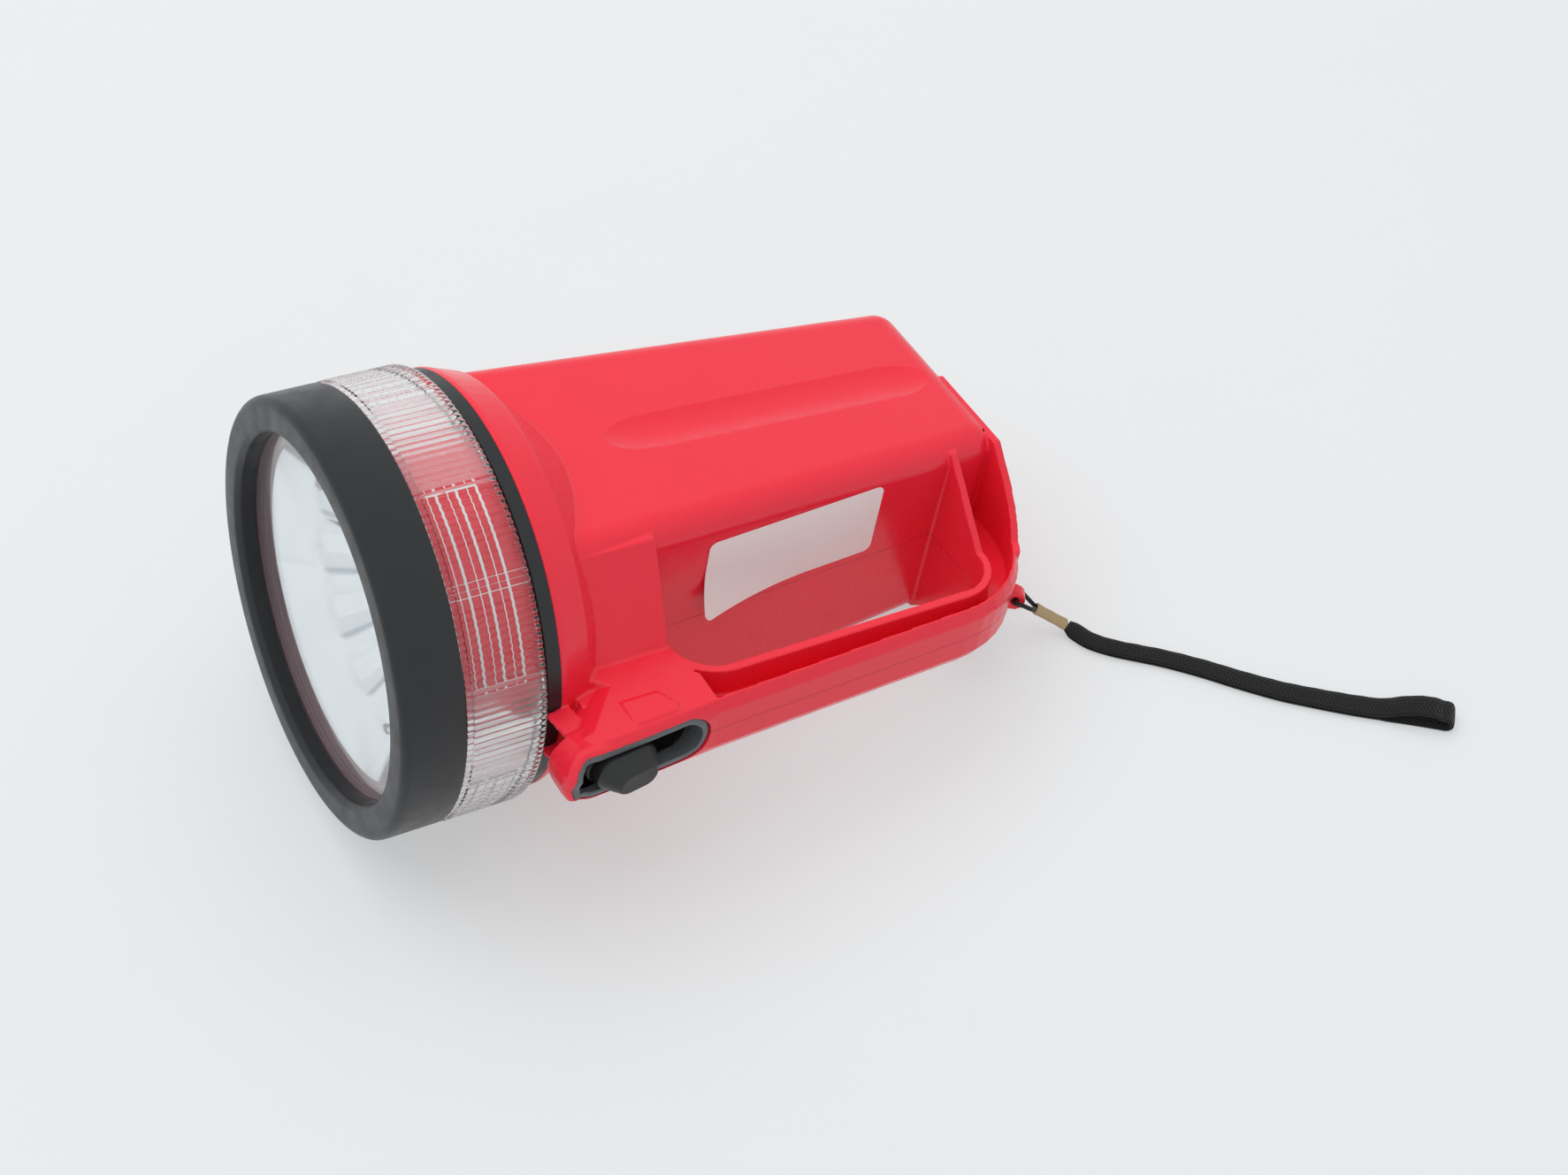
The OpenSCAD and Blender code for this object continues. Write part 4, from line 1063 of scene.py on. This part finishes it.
def clear_plastic(colours):
    """Clear moulded plastic with faint flow marks, dull and pale where its frost is."""
    finish = Finish("clear_moulding", IOR=1.49)
    cloud = finish.noise(60, 2)
    frost = finish.node("ShaderNodeAttribute", attribute_name="frost").outputs["Fac"]
    finish.feed("Base Color", finish.mixed(cloud, shade(colours.clear, 0.985), shade(colours.clear, 1.0)))
    polish = finish.ranged(finish.noise(240, 3), 0.35, 0.7, 0.015, 0.06)
    finish.feed("Roughness", finish.maths("ADD", polish, finish.maths("MULTIPLY", frost, 0.4)))
    finish.feed("Transmission Weight", finish.ranged(frost, 0.0, 1.0, 1.0, 0.0))
    return finish.material


class LANTERN_OT_lamp(Operator):
    """Makes the petalled reflector and finishes the bulb in it"""

    bl_idname = "lantern.lamp"
    bl_label = "Reflector and Bulb"

    def execute(self, context):
        sizes, colours = context.scene.lantern_sizes, context.scene.lantern_colours
        self.press_reflector(sizes, colours)
        glass = Finish("bulb_glass", Transmission_Weight=1.0, IOR=1.5)
        glass.feed("Roughness", glass.ranged(glass.noise(900, 2), 0.3, 0.7, 0.0, 0.04))
        glass.feed("Base Color", glass.mixed(glass.noise(300), (0.97, 0.97, 0.95), (1, 1, 1)))
        dressed("bulb_glass", glass.material)
        dressed("bulb_base", moulded("bulb_brass", colours.brass, 0.3, metallic=1.0, mottle=0.12).material)
        wire = moulded("filament_wire", colours.steel, 0.4, metallic=1.0, grain=6000)
        dressed("bulb_filament", wire.material)
        dressed("bulb_holder", moulded("holder_plastic", colours.surround_grey, 0.5).material)
        return {"FINISHED"}

    def press_reflector(self, sizes, colours):
        x0, x1, rim = node_reach("reflector")
        rim_back = x0 + sizes.rim_wall
        floor = x0 + sizes.bowl_depth
        hub, bowl = sizes.hub_radius, sizes.bowl_radius
        wall, bore = sizes.bowl_wall, sizes.bulb_bore
        hub_back, neck = floor + 2 * MM, hub - sizes.rim_wall
        near = 0.3 * MM

        def deep(r):
            return floor - sizes.bowl_depth * (r * r - hub * hub) / (bowl * bowl - hub * hub)

        hoops = 56
        radii = [hub + (bowl - hub) * i / hoops for i in range(hoops + 1)]
        profile = [(floor, bore)] + [(deep(r), r) for r in radii] + [(x0, rim), (rim_back, rim)]
        profile += [(deep(r) + wall, r) for r in radii[::-1][1:-1]]
        profile += [(hub_back, hub), (x1, hub), (x1, neck), (hub_back, neck), (hub_back, bore)]
        bm = turned(profile, sizes.petal_count * 24)
        # Painted shade and painted reflection: the ridge share marks a dark line near one edge of each petal
        # and a gradient across the petal that darkens towards that line
        ridge = bm.verts.layers.float.new("ridge")
        for v in bm.verts:
            r = math.hypot(v.co.y, v.co.z)
            if not hub + near < r < bowl * 0.9 or abs(v.co.x - deep(r)) > near:
                continue
            share = (math.atan2(v.co.y, v.co.z) * sizes.petal_count / math.tau) % 1.0 - 0.5
            end = bowl * (0.81 - 0.05 * (2 * share) ** 2)
            fade = max(0.0, min(1.0, (end - r) / 0.0012)) * min(1.0, (r - hub) / 0.005)
            v.co.x += sizes.petal_depth * math.cos(math.pi * share) * fade
            lower = max(0.0, 1 - abs(share - 0.44) / 0.06)
            v[ridge] = min(1.0, lower + 0.35 * (0.5 + share)) * min(1.0, 2 * fade)
        finish = Finish("mirror_coating", Metallic=1.0)
        cloud = finish.mixed(finish.noise(80, 3), shade(colours.mirror, 0.97), shade(colours.mirror, 1.03))
        # Painted shade: the mirror coating's colour turns to the grey wherever the ridge share is high
        dull = finish.node("ShaderNodeAttribute", attribute_name="ridge").outputs["Fac"]
        finish.feed("Base Color", finish.mixed(dull, cloud, colours.petal_shade_grey))
        finish.feed("Roughness", finish.ranged(finish.noise(200, 3), 0.3, 0.7, 0.05, 0.12))
        finish.bumped(finish.noise(260, 2), 0.00002, 0.3)
        placed(bm, "reflector_bowl", finish.material, "lamp_carrier", ["reflector"], crease=25)


class LANTERN_OT_switch(Operator):
    """Makes the oval switch surround and its sliding knob, and finishes the contacts under them"""

    bl_idname = "lantern.switch"
    bl_label = "Slide Switch"

    def execute(self, context):
        sizes, colours = context.scene.lantern_sizes, context.scene.lantern_colours
        grey = moulded("surround_plastic", colours.surround_grey, 0.4, grain=1200, mottle=0.1)
        black = moulded("knob_plastic", colours.knob_black, 0.42, grain=1300, depth=0.00004, mottle=0.12)
        self.cut_recess(sizes)
        ring = oval_ring(sizes, SURROUND)
        placed(ring, "switch_surround", grey.material, "root", ["switch_bezel"], crease=40)
        self.paint_pocket_shade(sizes, black)
        softened(
            merged("switch_knob"),
            "switch_knob",
            "switch_button",
            black.material,
            "switch_slider",
            sizes.switch_grid,
            sizes.switch_soften,
        )
        dressed("switch_base", moulded("switch_board", colours.board, 0.6).material)
        brass = moulded("switch_brass", colours.brass, 0.34, metallic=1.0, mottle=0.12)
        for node in ("switch_contacts", "lead_strips", "slider_contact"):
            dressed(node, brass.material)
        return {"FINISHED"}

    def cut_recess(self, sizes):
        """Cuts the oval recess of the surround into the softened case with a clean edge."""
        bm = bmesh.new()
        draw_oval(bm, sizes, sizes.oval_radius, filled=True)
        bmesh.ops.translate(bm, vec=(0, 0, -sizes.recess_depth), verts=bm.verts)
        made = bmesh.ops.extrude_face_region(bm, geom=bm.faces[:])["geom"]
        top = [g for g in made if isinstance(g, bmesh.types.BMVert)]
        bmesh.ops.translate(bm, vec=(0, 0, 2 * sizes.recess_depth), verts=top)
        bmesh.ops.recalc_face_normals(bm, faces=bm.faces)
        bmesh.ops.transform(bm, matrix=LIGHT @ switch_matrix(sizes), verts=bm.verts)
        case = bpy.data.objects["case_moulding"]
        carved(case, bm, "recess_tool")
        creased(case, sizes)

    def paint_pocket_shade(self, sizes, finish):
        """Paints the case's switch pocket, which is seen past the knob, with the knob's black finish as
        painted shade in the red case's cavity.
        """
        case = bpy.data.objects["case_moulding"].data
        case.materials.append(finish.material)
        to_switch = switch_matrix(sizes).inverted() @ TO_LIGHT
        straight, floor = sizes.oval_straight / 2, -sizes.recess_depth
        for face in case.polygons:
            p = to_switch @ face.center
            off = math.hypot(max(0.0, abs(p.x) - straight), p.y)
            on_floor = off < sizes.oval_radius - 0.0002 and abs(p.z - floor) < 0.0003
            inside = off < sizes.slot_radius + 1.3 * MM and -3.2 * MM < p.x + straight
            inside = inside and p.x - straight < 5.2 * MM
            # Painted shade: the recess floor and the pocket walls under it take the black finish instead of
            # the case's red
            if on_floor or inside and -sizes.pocket_depth < p.z < floor:
                face.material_index = 1


class LANTERN_OT_power(Operator):
    """Finishes the cells, boards, strips, springs and screws inside the case"""

    bl_idname = "lantern.power"
    bl_label = "Cells and Contacts"

    def execute(self, context):
        colours = context.scene.lantern_colours
        brass = moulded("strip_brass", colours.brass, 0.32, metallic=1.0, mottle=0.12)
        steel = moulded("spring_steel", colours.steel, 0.28, metallic=1.0, grain=2600, mottle=0.08)
        board = moulded("fibre_board", colours.board, 0.62, grain=1600, depth=0.00005, mottle=0.18)
        wrapper = moulded("cell_wrapper", colours.cell, 0.34, grain=900, mottle=0.1)
        for finish, nodes in (
            (brass, ("front_bridge_strips", "rear_bridge_strips")),
            (steel, ("lamp_spring", "rear_springs", "board_screws")),
            (board, ("front_contact_board", "rear_contact_board")),
            (wrapper, ("battery_1", "battery_2", "battery_3", "battery_4")),
        ):
            for node in nodes:
                dressed(node, finish.material)
        return {"FINISHED"}


class LANTERN_PT_panel(Panel):
    """Lists the steps that dress the lantern"""

    bl_idname = "LANTERN_PT_panel"
    bl_label = "Hand Lantern"
    bl_space_type = "VIEW_3D"
    bl_region_type = "UI"
    bl_category = "Lantern"

    def draw(self, context):
        for step in STEPS:
            self.layout.operator(step.bl_idname)
        for group in (context.scene.lantern_sizes, context.scene.lantern_colours):
            box = self.layout.box()
            for key in group.__annotations__:
                box.prop(group, key)


STEPS = (
    LANTERN_OT_stage,
    LANTERN_OT_strap,
    LANTERN_OT_case,
    LANTERN_OT_sticker,
    LANTERN_OT_head,
    LANTERN_OT_lamp,
    LANTERN_OT_switch,
    LANTERN_OT_power,
)
CLASSES = (LanternSizes, LanternColours, *STEPS, LANTERN_PT_panel)


def register():
    for cls in CLASSES:
        bpy.utils.register_class(cls)
    bpy.types.Scene.lantern_sizes = PointerProperty(type=LanternSizes)
    bpy.types.Scene.lantern_colours = PointerProperty(type=LanternColours)


def unregister():
    del bpy.types.Scene.lantern_colours
    del bpy.types.Scene.lantern_sizes
    for cls in reversed(CLASSES):
        bpy.utils.unregister_class(cls)


def main():
    register()
    bpy.ops.lantern.stage()
    bpy.ops.lantern.strap()
    bpy.ops.lantern.case()
    bpy.ops.lantern.sticker()
    bpy.ops.lantern.head()
    bpy.ops.lantern.lamp()
    bpy.ops.lantern.switch()
    bpy.ops.lantern.power()
    boxes = {"cad": CAD_BOX, "visual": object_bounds()}
    {name: [list(corner) for corner in box] for name, box in boxes.items()}


if __name__ == "__main__":
    main()
